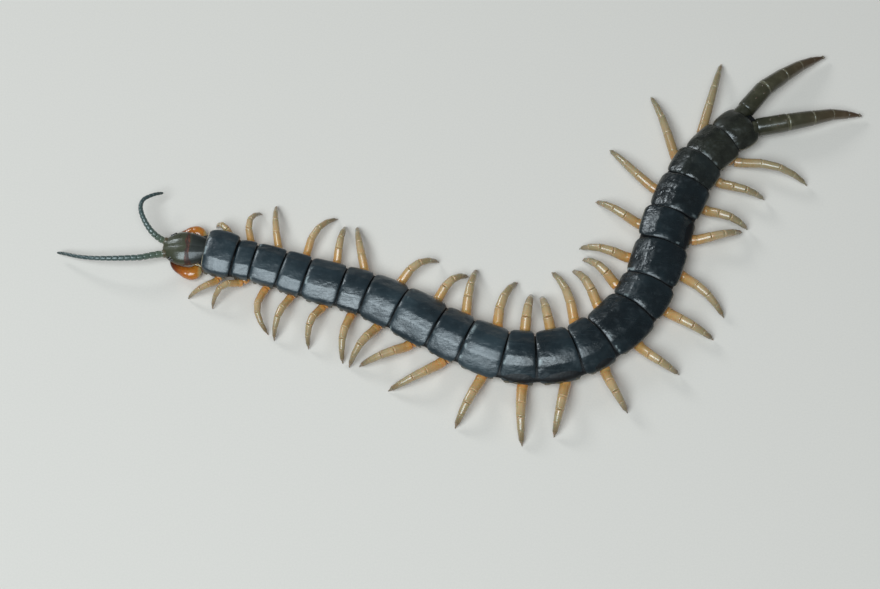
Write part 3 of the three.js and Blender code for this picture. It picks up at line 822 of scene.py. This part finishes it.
bellyPlate = {
    "wall": 0.2, "wide": 0.66, "high": 1.6, "gaps": (0.25, 0.1),  # left free in front and behind
    "rows": [(0.0, 0.90, 0.25, 0.05), (0.06, 0.96, 0.20, 0.0), (0.5, 1.0, 0.18, 0.0),
             (0.9, 0.97, 0.20, 0.0), (1.0, 0.90, 0.27, 0.06)],
    "columns": [(0, 1.0), (0.3, 1.0), (0.33, 0.82), (0.36, 1.0), (0.7, 0.96), (0.9, 0.7),
                (1.0, 0.0)],
}


def makeBellyPlates():
    master = cutSheet("bellyMaster", bellyPlate["rows"], bellyPlate["columns"])
    smoothOut(master, 1)
    parts = []
    for i, (length, width, heading) in enumerate(plates):
        start = backRuns[i] + bellyPlate["gaps"][0]
        run = backRuns[i + 1] - bellyPlate["gaps"][1] - start
        place = Matrix.Translation((start, 0, trunk["belly"])) @ Matrix.Diagonal(
            (run, width / 2 * bellyPlate["wide"], bellyPlate["high"], 1))
        part = copyOf(master, f"sternite_{i + 1:02d}", place)
        applyModifier(part, "SOLIDIFY", thickness=bellyPlate["wall"], offset=1,
                      use_even_offset=True)
        faceOutward(part)
        bend(part)
        parts.append(part)
    remove(master)
    for part in parts:
        shade(part)
        finishPiece(part, bellyTone, "back_cuticle")


makeBellyPlates()
print("belly plates made")


# small plates and breathing holes on the flanks

flank = {
    # place along the plate, height share, half length share, half height in mm
    "plates": [(0.24, 0.40, 0.085, 0.62), (0.50, 0.43, 0.12, 0.55), (0.84, 0.38, 0.075, 0.70),
               (0.36, 0.24, 0.06, 0.42)],
    "holeSegments": (3, 5, 8, 10, 12, 14, 16, 18, 20), "hole": (0.68, 0.36, 0.42, 0.30),
    "sides": 12, "depth": 0.22, "holeDepth": 0.35, "sink": 0.97,
    "rings": [(1, 0.6), (0.86, 0.3), (0.45, 0.14)],  # share of size, rise from the ring before
    "holeRings": [(-0.5, 1.0), (0.3, 1.0), (0.5, 0.86), (0.35, 0.62), (-0.1, 0.5)],
}


def flankSpot(i, place, share, side):  # on the straight trunk, and facing outward there
    width = plates[i][1]
    low = trunk["belly"] + bodySkin["bellyGap"]
    high = trunk["belly"] + bodyHeight(width) - bodySkin["crownDrop"]
    z = trunk["belly"] + share * bodyHeight(width)
    off = (z - (low + high) / 2) / ((high - low) / 2)
    y = width / 2 * bodySkin["inset"] * math.sqrt(1 - off ** 2) * flank["sink"]
    return Vector((mix(backRuns[i], backRuns[i + 1], place), side * y, z))


def flankFrame(spot, side, long, high, deep):
    return frameOf((-side * long, 0, 0), up * high, (0, side * deep, 0), spot)


def makeFlankPlates():
    deselectAll()
    bpy.ops.mesh.primitive_circle_add(vertices=flank["sides"], radius=1, fill_type="NGON",
                                      location=(0, 0, 0))
    master = bpy.context.object
    edit(master)
    bpy.ops.mesh.select_all(action="SELECT")
    for share, rise in flank["rings"]:
        bpy.ops.mesh.extrude_region_move(TRANSFORM_OT_translate={"value": (0, 0, rise)})
        stretch(share, share, 1, (0, 0, 0))
    bpy.ops.object.mode_set(mode="OBJECT")
    faceOutward(master)
    smoothOut(master, 1)
    hole = articleMaster("holeMaster", flank["holeRings"])
    hole.data.transform(Matrix.Rotation(math.radians(-90), 4, "Y"))
    for side, word in bothSides:
        small, holes = [], []
        for i in range(len(plates) - 1):
            run = backRuns[i + 1] - backRuns[i]
            for place, share, long, high in flank["plates"]:
                grid = flankFrame(flankSpot(i, place, share, side), side, long * run, high,
                                  flank["depth"])
                small.append(copyOf(master, "flankPlate", grid))
            if i + 1 in flank["holeSegments"]:
                place, share, long, high = flank["hole"]
                grid = flankFrame(flankSpot(i, place, share, side), side, long, high,
                                  flank["holeDepth"])
                holes.append(copyOf(hole, "hole", grid))
        for parts, name, look in ((small, "flankPlates", headSide),
                                  (holes, "breathingHoles", skinTone)):
            piece = joinAll(parts, f"{name}_{word}")
            bend(piece)
            shade(piece)
            finishPiece(piece, look, "back_cuticle")
    remove(master, hole)


makeFlankPlates()
print("flank plates made")


legArticle = articleMaster("legArticle", article["leg"])
beadArticle = articleMaster("beadArticle", article["bead"])
footArticle = articleMaster("footArticle", article["foot"])
clawArticle = articleMaster("clawArticle", article["claw"], droop=0.9)


def layArticle(master, name, start, end, thick, thickEnd):
    part = copyOf(master, name, Matrix.Identity(4))
    for corner in part.data.vertices:  # drawn thinner or thicker towards its end
        share = mix(thick, thickEnd, min(max(corner.co.x, 0), 1))
        corner.co.y *= share
        corner.co.z *= share
    part.data.transform(frameAlong(start, end, 1))
    return part


def layLimb(name, joints, thickness, masters, shares):
    # one article between each pair of joints, joined into one piece
    parts = []
    for j, master in enumerate(masters):
        part = layArticle(master, f"{name}_{j}", joints[j], joints[j + 1],
                          thickness[j], thickness[j + 1])
        noteAlong(part, shares[j], shares[j + 1])
        parts.append(part)
    return joinAll(parts, name)


# walking legs

walkingLeg = {
    "right": [  # sweep forward in degrees, bend along it, reach in mm
        (66, 20, 5), (0, -90, 8.5), (22, -15, 12), (-14, -60, 12.5), (6, -10, 10.5),
        (28, -10, 12.5), (-29, -50, 11), (-17, -40, 10), (15, -20, 12.5), (1, -50, 13),
        (-3, -15, 10.5), (2, -10, 9.5), (-11, 32, 14.5), (-14, 15, 10.9), (-15, 5, 10.2),
        (4, -10, 11.5), (-15, -25, 12), (-23, -30, 15), (-42, 0, 17.5), (-62, 0, 19.8),
    ],
    "left": [
        (45, 30, 7.5), (38, -75, 8.5), (-22, -95, 10), (1, -30, 10), (2, -55, 9.5),
        (-9, -35, 10.5), (10, -10, 10.5), (40, 20, 12), (36, 20, 13.5), (6, 0, 12.5),
        (-6, -15, 13), (23, 0, 12), (3, -40, 10.5), (-11, -55, 11), (1, -25, 12.2),
        (25, 15, 13.3), (-33, -30, 12), (-3, -20, 10.6), (-14, -40, 11), (-28, 15, 17),
    ],
    "lengths": [10, 12.5, 12.5, 12.5, 12.5, 12.5, 13.5] + [14] * 10 + [15, 17.5, 20.5],
    # where each leg grows from, as a share of its plate's length
    "rightRoots": [0.65] * 8 + [0.62, 0.6, 0.58, 0.55, 0.52, 0.52, 0.49, 0.5, 0.5, 0.56, 0.68,
                                0.71],
    "leftRoots": [0.65] * 8 + [0.66, 0.69, 0.69, 0.64, 0.6, 0.52, 0.49, 0.5, 0.5, 0.56, 0.68,
                               0.71],
    "rootHeight": 0.235, "outPerWidth": 0.4, "outBeyond": 0.65,
    # thickness of the first leg, of the thickest and its place in the row, and of the last
    "radii": (0.78, 1.22, 10, 1.08), "hipShare": 0.45, "hipLimit": 26,
    "joints": [0, 0.1, 0.35, 0.58, 0.78, 0.92, 1], "lift": [0, 0.12, 0.75, 1, 0.8, 0.42, 0],
    "thick": [1.08, 1.06, 0.97, 0.84, 0.68, 0.48, 0.32],
    "archShare": 0.45, "leastSpare": 28, "highestArch": 3.5,
    "gap": 0.3, "clawFrom": 0.6, "clawShare": 0.97, "clawThick": (0.2, 0.12), "clawHeight": 0.16,
    # hip from inside the trunk to the leg: place in mm, share of leg thickness
    "hip": [(-2.6, 0.9), (-1.9, 1.15), (-1.1, 1.26), (-0.4, 1.22), (0.0, 1.1), (0.2, 0.8)],
}


def legRoot(i, side):
    length, width, heading = plates[i]
    word = "right" if side > 0 else "left"
    sweep, bow, reach = walkingLeg[word][i]
    out = rightOf(heading) * side
    limit = walkingLeg["hipLimit"]
    hipTurn = math.radians(min(max((sweep - bow / 2) * walkingLeg["hipShare"], -limit), limit))
    facing = out * math.cos(hipTurn) - ahead(heading) * math.sin(hipTurn)
    at = (backJoints[i] + ahead(heading) * length * walkingLeg[word + "Roots"][i]
          + out * (walkingLeg["outPerWidth"] * width + walkingLeg["outBeyond"])
          + up * (trunk["belly"] + walkingLeg["rootHeight"] * bodyHeight(width)))
    first, thickest, middle, last = walkingLeg["radii"]
    if i < middle:
        return at, facing, mix(first, thickest, i / middle)
    beyond = (i - middle) / (len(walkingLeg["lengths"]) - 1 - middle)
    return at, facing, mix(thickest, last, beyond)


def legJoints(i, side):
    sweep, bow, reach = walkingLeg["right" if side > 0 else "left"][i]
    heading = plates[i][2]
    at, facing, radius = legRoot(i, side)
    start = at + facing * walkingLeg["gap"]
    out = rightOf(heading) * side
    sweep, bow = math.radians(sweep), math.radians(bow)
    chord = out * math.cos(sweep) - ahead(heading) * math.sin(sweep)
    bowed = out * math.sin(sweep) + ahead(heading) * math.cos(sweep)
    travel = reach * (1 + bow ** 2 / 24)
    spare = max(walkingLeg["lengths"][i] ** 2 - travel ** 2 - start.z ** 2,
                walkingLeg["leastSpare"])
    arch = min(walkingLeg["archShare"] * math.sqrt(spare), walkingLeg["highestArch"])
    joints = []
    for share, lift in zip(walkingLeg["joints"], walkingLeg["lift"]):
        joints.append(start + chord * reach * share + bowed * reach * bow / 2 * share * (1 - share)
                      + up * (arch * lift - start.z * share))
    return joints, radius


def makeLeg(i, side, word):
    joints, radius = legJoints(i, side)
    toe = joints[-1] + up * walkingLeg["clawHeight"]
    ankle = joints[-2].lerp(toe, walkingLeg["clawFrom"])
    joints = [*joints[:-1], ankle, toe]
    shares = [*walkingLeg["joints"][:-1], walkingLeg["clawShare"], 1]
    thickness = [*[radius * share for share in walkingLeg["thick"][:-1]], *walkingLeg["clawThick"]]
    masters = [legArticle] * 5 + [footArticle, clawArticle]
    piece = layLimb(f"walkingLeg_{i + 1:02d}_{word}", joints, thickness, masters, shares)
    note(piece, "tail", lambda corner: tailShare(i))
    finishPiece(piece, tanLegTone, "leg_cuticle", f"leg_{i + 1:02d}_{word}")


def makeHips(side, word):
    parts = []
    rings = [[x, radius, radius, 0] for x, radius in walkingLeg["hip"]]
    master = ringTube("hipMaster", rings, article["sides"])
    smoothOut(master, 1)
    shade(master)
    first, last = walkingLeg["hip"][0][0], walkingLeg["hip"][-1][0]
    note(master, "article", lambda corner: 0.1 + 0.8 * (corner.x - first) / (last - first))
    note(master, "along", lambda corner: 0.0)
    for i in range(len(walkingLeg["lengths"])):
        at, facing, radius = legRoot(i, side)
        parts.append(copyOf(master, f"hip_{i}", frameAlong(at, at + facing, radius)))
        note(parts[-1], "tail", lambda corner: tailShare(i))
    remove(master)
    return finishPiece(joinAll(parts, f"hips_{word}"), tanLegTone, "leg_cuticle")


for side, word in bothSides:
    makeHips(side, word)
    for i in range(len(walkingLeg["lengths"])):
        makeLeg(i, side, word)
print("walking legs made")


# last pair of legs

tailLeg = {
    "lengths": [6.9, 6.0, 4.9, 3.8, 2.8, 0.9], "thick": [2.25, 2.15, 1.8, 1.36, 0.94, 0.5, 0.2],
    "tilts": [4, -6, -10, -12, -14, -16],
    "right": [49, 38, 36, 30, 26, 24], "left": [9, 14, 16, 6, 3, 2],
    "root": {"right": (2.65, 1.4), "left": (2.25, 0.5)},  # sideways, beyond the rear joint
    "height": 3.8, "gap": 0.3,
    "shares": [0, 0.27, 0.53, 0.73, 0.87, 0.97, 1],
    # hip plate beside the last back plate: place from the rear joint, half width, half height
    "hip": [(-5.2, 0.5, 0.8), (-4.2, 1.2, 1.5), (-2.6, 1.6, 1.85), (-0.9, 1.85, 2.0),
            (0.0, 1.95, 2.05), (0.35, 1.9, 2.0), (0.55, 1.6, 1.7)],
    "hipHeight": 3.65,
    # spines on the first article: share of its length, turn round it in degrees
    "spines": [(0.4, 262), (0.6, 290), (0.72, 250), (0.88, 275)],
    "spineLength": 0.5, "spineThick": 0.18, "spineOut": 0.9, "spineFlat": 0.6,
}


def tailLegStart(side, word):
    heading = tailLeg[word][0]
    bodyHeading = plates[-1][2]
    sideways, beyond = tailLeg["root"][word]
    at = (backJoints[-1] + ahead(bodyHeading) * beyond
          + rightOf(bodyHeading) * side * sideways + up * tailLeg["height"])
    return at, ahead(mix(bodyHeading, heading, 0.5))


def makeTailHip(side, word):
    sideways, beyond = tailLeg["root"][word]
    rings = [[backRuns[-1] + beyond + x, wide, high, tailLeg["hipHeight"]]
             for x, wide, high in tailLeg["hip"]]
    piece = ringTube(f"tailHip_{word}", rings, article["sides"])
    smoothOut(piece, 2)
    piece.data.transform(Matrix.Translation((0, side * sideways, 0)))
    bend(piece)
    shade(piece)
    note(piece, "article", lambda corner: 0.5)
    note(piece, "along", lambda corner: 0.0)
    finishPiece(piece, oliveLegTone, "tail_leg_cuticle")


def makeTailLeg(side, word):
    at, facing = tailLegStart(side, word)
    joints = [at + facing * tailLeg["gap"]]
    for length, tilt, heading in zip(tailLeg["lengths"], tailLeg["tilts"], tailLeg[word]):
        tilt = math.radians(tilt)
        joints.append(joints[-1] + ahead(heading) * length * math.cos(tilt)
                      + up * length * math.sin(tilt))
    masters = [legArticle] * 4 + [footArticle, clawArticle]
    piece = layLimb(f"tailLeg_{word}", joints, tailLeg["thick"], masters, tailLeg["shares"])
    way = (joints[1] - joints[0]).normalized()
    inner = way.cross(up).normalized() * side
    parts = [piece]
    for share, around in tailLeg["spines"]:
        around = math.radians(around)
        out = inner * -math.cos(around) + up * -math.sin(around) * tailLeg["spineFlat"]
        thick = mix(tailLeg["thick"][0], tailLeg["thick"][1], share)
        foot = joints[0].lerp(joints[1], share) + out.normalized() * thick * tailLeg["spineOut"]
        tip = foot + (out.normalized() + way).normalized() * tailLeg["spineLength"]
        spineSize = tailLeg["spineThick"]
        spike = layArticle(clawArticle, "spike", foot, tip, spineSize, spineSize)
        noteAlong(spike, 0.8, 1)
        parts.append(spike)
    piece = joinAll(parts, piece.name)
    finishPiece(piece, oliveLegTone, "tail_leg_cuticle", f"leg_21_{word}")


for side, word in bothSides:
    makeTailHip(side, word)
    makeTailLeg(side, word)
print("last legs made")


# feelers

headBase = backJoints[0]
forward = -ahead(trunk["headHeading"])
headRight = rightOf(trunk["headHeading"])


def inHead(fore, sideways, height):
    return headBase + forward * fore + headRight * sideways + up * height


# head pieces are modelled with X forward, Y to the left, Z up
headFrame = frameOf(forward, -headRight, up, headBase)

feeler = {
    "right": {"length": 17, "headings": [14, 32, 49, 58, 70, 98, 138, 146, 146],
              "heights": [3.8, 4.7, 5.4, 5.9, 6.2, 6.0, 5.3, 4.6, 3.4]},
    "left": {"length": 24.3, "headings": [16, 24, 9, 6, 2, -3, -10, -18, -10],
             "heights": [3.8, 4.5, 4.9, 5.0, 4.8, 4.3, 3.6, 2.7, 1.6]},
    "articles": 18, "thick": (0.84, 0.36), "taper": 0.85, "gap": 0.3,
    "fore": 9.15, "sideways": 1.55, "height": 3.8,
    "inside": 2.2, "insideThick": 0.8,  # the foot of it inside the head
}


def feelerRoot(side, word):
    first = math.radians(feeler[word]["headings"][0])
    facing = forward * math.cos(first) + headRight * side * math.sin(first)
    return inHead(feeler["fore"], side * feeler["sideways"], feeler["height"]), facing


def makeFeeler(side, word):
    shape, count = feeler[word], feeler["articles"]
    step = shape["length"] / count
    root, facing = feelerRoot(side, word)
    joints = [root + facing * feeler["gap"]]
    for i in range(count):
        way = math.radians(sample(shape["headings"], (i + 0.5) / count))
        rise = sample(shape["heights"], (i + 1) / count) - joints[i].z
        level = math.sqrt(step ** 2 - rise ** 2)
        joints.append(joints[i] + forward * level * math.cos(way)
                      + headRight * side * level * math.sin(way) + up * rise)
    thickness = [mix(*feeler["thick"], (i / count) ** feeler["taper"]) for i in range(count + 1)]
    masters = [beadArticle] * (count - 1) + [footArticle]
    shares = [i / count for i in range(count + 1)]
    inside = layArticle(beadArticle, "socket", root - facing * feeler["inside"],
                        joints[0] + facing * 0.1, feeler["insideThick"], feeler["insideThick"])
    noteAlong(inside, 0, 0)
    piece = layLimb(f"feeler_{word}", joints, thickness, masters, shares)
    piece = joinAll([piece, inside], f"feeler_{word}")
    finishPiece(piece, feelerTone, "feeler_cuticle", f"antenna_{word}")


for side, word in bothSides:
    makeFeeler(side, word)
print("feelers made")


# head

headShell = {
    "wall": 0.3,
    # forward place, half width, rim height, crown height
    "rows": [(-0.5, 2.45, 4.7, 5.72), (-0.2, 2.75, 4.4, 5.92), (0.5, 3.1, 4.2, 6.04),
             (1.4, 3.5, 4.08, 6.12), (2.6, 3.85, 4.05, 6.15), (4.4, 4.1, 4.02, 6.06),
             (5.7, 3.98, 3.98, 5.84), (6.8, 3.56, 3.92, 5.5), (7.8, 2.9, 3.86, 5.12),
             (8.5, 2.35, 3.84, 4.82), (9.0, 1.82, 3.86, 4.56), (9.25, 1.35, 3.9, 4.42)],
    "columns": [(0, 0.985), (0.05, 0.99), (0.12, 1.0), (0.36, 0.972), (0.43, 0.945), (0.60, 0.80),
                (0.77, 0.64), (0.85, 0.51), (0.93, 0.29), (0.98, 0.09), (1.0, 0.0)],
    # depth, from how far forward, and half width of the furrow between the feelers and of the notch
    "furrow": (0.16, 5.4, 0.05), "notch": (0.28, 8.9, 0.3),
}


def makeHeadShell():
    piece = cutSheet("headShell", headShell["rows"], headShell["columns"])
    edit(piece)
    deep, fore, wide = headShell["furrow"]
    pick(lambda place: place.x > fore and abs(place.y) < wide)
    move(0, 0, -deep)
    deep, fore, wide = headShell["notch"]
    pick(lambda place: place.x > fore and abs(place.y) < wide)
    move(-deep, 0, 0)
    bpy.ops.object.mode_set(mode="OBJECT")
    smoothOut(piece, 1)
    applyModifier(piece, "SOLIDIFY", thickness=headShell["wall"], offset=-1, use_even_offset=True)
    smoothOut(piece, 1)
    piece.data.transform(headFrame)
    shade(piece)
    finishPiece(piece, headTone, "head_cuticle", "head")


makeHeadShell()
print("head plate made")

eyes = {
    "places": [(7.62, 2.76, 4.3), (7.08, 3.16, 4.18), (7.3, 2.78, 4.55), (6.74, 3.2, 4.5)],
    "size": 0.27, "centre": (7.0, 1.6, 3.2),  # the eyes look away from this point
    # outward place, share of size: a low rim, then the dome
    "rings": [(-0.8, 1.3), (0.05, 1.28), (0.2, 1.12), (0.12, 0.94), (0.38, 0.88), (0.66, 0.68),
              (0.84, 0.4), (0.9, 0.12)],
}


def makeEyes(side, word):
    master = articleMaster("eyeMaster", eyes["rings"])
    parts = []
    for number, (fore, sideways, height) in enumerate(eyes["places"]):
        at = inHead(fore, side * sideways, height)
        middle = inHead(eyes["centre"][0], side * eyes["centre"][1], eyes["centre"][2])
        out = (at - middle).normalized() * eyes["size"]
        parts.append(copyOf(master, f"eye_{number}", frameAlong(at, at + out, eyes["size"])))
    remove(master)
    finishPiece(joinAll(parts, f"eyes_{word}"), eyeTone, "head_cuticle")


mouth = {
    # socket round the foot of each feeler: place along the feeler, thickness
    "socket": [(-1.3, 1.0), (-0.6, 1.12), (-0.15, 1.16), (0.02, 1.04), (0.0, 0.8)],
    "socketThick": 0.86,
    # brow over the mouth: forward, half width, half height, height
    "brow": [(7.4, 2.1, 0.55, 3.25), (8.3, 1.75, 0.55, 3.3), (8.95, 1.25, 0.46, 3.42),
             (9.25, 0.8, 0.34, 3.55), (9.35, 0.35, 0.2, 3.62)],
    "browSides": 20,
    # long palps: forward, sideways, height, thickness
    "palp": [(5.6, 1.35, 3.0, 0.62), (7.0, 1.15, 2.75, 0.58), (8.1, 0.95, 2.55, 0.5),
             (8.75, 0.6, 2.5, 0.42), (9.05, 0.3, 2.55, 0.2)],
    # short inner lobes between the palps
    "lobe": [(6.0, 0.5, 2.8, 0.5), (7.2, 0.42, 2.72, 0.5), (7.9, 0.36, 2.72, 0.3)],
}


def makeMouth():
    parts = []
    for side, word in bothSides:
        root, facing = feelerRoot(side, word)
        socket = articleMaster("socket", mouth["socket"])
        socket.data.transform(frameAlong(root, root + facing, mouth["socketThick"]))
        parts.append(socket)
        for name in ("palp", "lobe"):
            joints = [inHead(fore, side * out, height) for fore, out, height, thick in mouth[name]]
            thickness = [spot[3] for spot in mouth[name]]
            count = len(joints) - 1
            masters = [legArticle] * (count - 1) + [footArticle]
            shares = [i / count for i in range(count + 1)]
            parts.append(layLimb(f"{name}_{word}", joints, thickness, masters, shares))
    brow = ringTube("brow", mouth["brow"], mouth["browSides"])
    smoothOut(brow, 1)
    brow.data.transform(headFrame)
    shade(brow)
    finishPiece(joinAll([brow, *parts], "mouthParts"), headSide, "head_cuticle")


jawBase = {
    # forward place, half width, half height, middle height
    "rings": [(-1.6, 3.15, 0.55, 1.72), (-0.4, 3.3, 0.62, 1.74), (1.0, 3.25, 0.64, 1.74),
              (2.4, 2.75, 0.62, 1.75), (3.6, 2.3, 0.55, 1.78), (4.3, 2.05, 0.45, 1.8),
              (4.7, 1.85, 0.3, 1.8)],
    # tooth plates in front of it: forward place, half width, half height
    "lobe": [(4.0, 0.8, 0.36), (4.7, 0.78, 0.33), (5.2, 0.7, 0.26), (5.45, 0.6, 0.16)],
    "lobeOut": 0.92, "height": 1.8, "sides": 24, "lobeSides": 16,
    "groove": (0.14, 0.1, 1.7),  # depth, half width, and below what height
    "teeth": (-0.5, -0.17, 0.17, 0.5), "toothSize": (0.55, 0.19), "toothFore": 5.25,
}


def makeJawBase():
    base = ringTube("jawBase", jawBase["rings"], jawBase["sides"])
    edit(base)
    deep, wide, below = jawBase["groove"]  # down the middle of the underside
    pick(lambda place: abs(place.y) < wide and place.z < below)
    move(0, 0, deep)
    bpy.ops.object.mode_set(mode="OBJECT")
    parts = [base]
    for side in (1, -1):
        rings = [[x, wide, high, jawBase["height"]] for x, wide, high in jawBase["lobe"]]
        lobe = ringTube("toothPlate", rings, jawBase["lobeSides"])
        lobe.data.transform(Matrix.Translation((0, side * jawBase["lobeOut"], 0)))
        parts.append(lobe)
    base = joinAll(parts, "jawBase")
    smoothOut(base, 2)
    base.data.transform(headFrame)
    shade(base)
    note(base, "article", lambda corner: 0.5)
    note(base, "along", lambda corner: 0.06)
    teeth = []
    for side in (1, -1):
        for shift in jawBase["teeth"]:
            foot = inHead(jawBase["toothFore"] - abs(shift) * 0.2,
                          side * jawBase["lobeOut"] + shift, jawBase["height"])
            tip = foot + forward * jawBase["toothSize"][0]
            tooth = layArticle(clawArticle, "tooth", foot, tip, *[jawBase["toothSize"][1]] * 2)
            noteAlong(tooth, 0.8, 1)
            teeth.append(tooth)
    finishPiece(joinAll([base, *teeth], "jawBase"), clawTone, "claw_cuticle")


makeMouth()
makeJawBase()
for side, word in bothSides:
    makeEyes(side, word)
print("eyes and mouth parts made")


# poison claws

poisonClaw = {
    "sides": 14, "flat": 0.82,
    # forward, sideways, height, thickness, heading away from forward
    "rings": [(1.3, 3.2, 2.0, 1.05, 76), (1.42, 3.8, 2.04, 1.3, 68), (1.65, 4.45, 2.1, 1.5, 50),
              (2.15, 4.85, 2.12, 1.62, 22), (2.9, 4.95, 2.1, 1.58, 0), (3.4, 4.88, 2.08, 1.36, -10),
              (3.75, 4.8, 2.07, 1.4, -14), (4.4, 4.55, 2.05, 1.22, -20),
              (4.75, 4.42, 2.02, 1.02, -24), (5.05, 4.28, 2.0, 1.06, -26),
              (5.75, 3.98, 1.95, 0.92, -30), (6.4, 3.58, 1.9, 0.74, -38),
              (6.95, 3.05, 1.83, 0.56, -48), (7.35, 2.45, 1.76, 0.36, -58),
              (7.6, 1.85, 1.7, 0.12, -66)],
}


def makePoisonClaw(side, word):
    fore, sideways, height, thick, heading = poisonClaw["rings"][0]
    deselectAll()
    bpy.ops.mesh.primitive_circle_add(vertices=poisonClaw["sides"], radius=1, fill_type="NGON",
                                      location=(fore, sideways, height),
                                      rotation=(0, math.radians(90), 0))
    piece = bpy.context.object
    piece.name = f"poisonClaw_{word}"
    applyPlace(piece)
    edit(piece)
    bpy.ops.mesh.select_all(action="SELECT")
    stretch(1, thick, thick * poisonClaw["flat"], (fore, sideways, height))
    turn(heading, "Z", (fore, sideways, height))
    for ring in poisonClaw["rings"][1:]:
        nextFore, nextSideways, nextHeight, nextThick, nextHeading = ring
        centre = (nextFore, nextSideways, nextHeight)
        bpy.ops.mesh.extrude_region_move(TRANSFORM_OT_translate={
            "value": (nextFore - fore, nextSideways - sideways, nextHeight - height)})
        share = nextThick / thick
        stretch(share, share, share, centre)
        turn(nextHeading - heading, "Z", centre)
        fore, sideways, height, thick, heading = ring
    bpy.ops.object.mode_set(mode="OBJECT")
    faceOutward(piece)
    smoothOut(piece, 2)
    first, last = -0.1, poisonClaw["rings"][-1][0]
    note(piece, "along", lambda corner: min(max((corner.x - first) / (last - first), 0), 1))
    note(piece, "article", lambda corner: 0.5)
    if side > 0:
        piece.data.transform(Matrix.Diagonal((1, -1, 1, 1)))
        faceOutward(piece)
    piece.data.transform(headFrame)
    shade(piece)
    finishPiece(piece, clawTone, "claw_cuticle", f"forcipule_{word}")


for side, word in bothSides:
    makePoisonClaw(side, word)
print("poison claws made")


remove(spine, legArticle, beadArticle, footArticle, clawArticle)
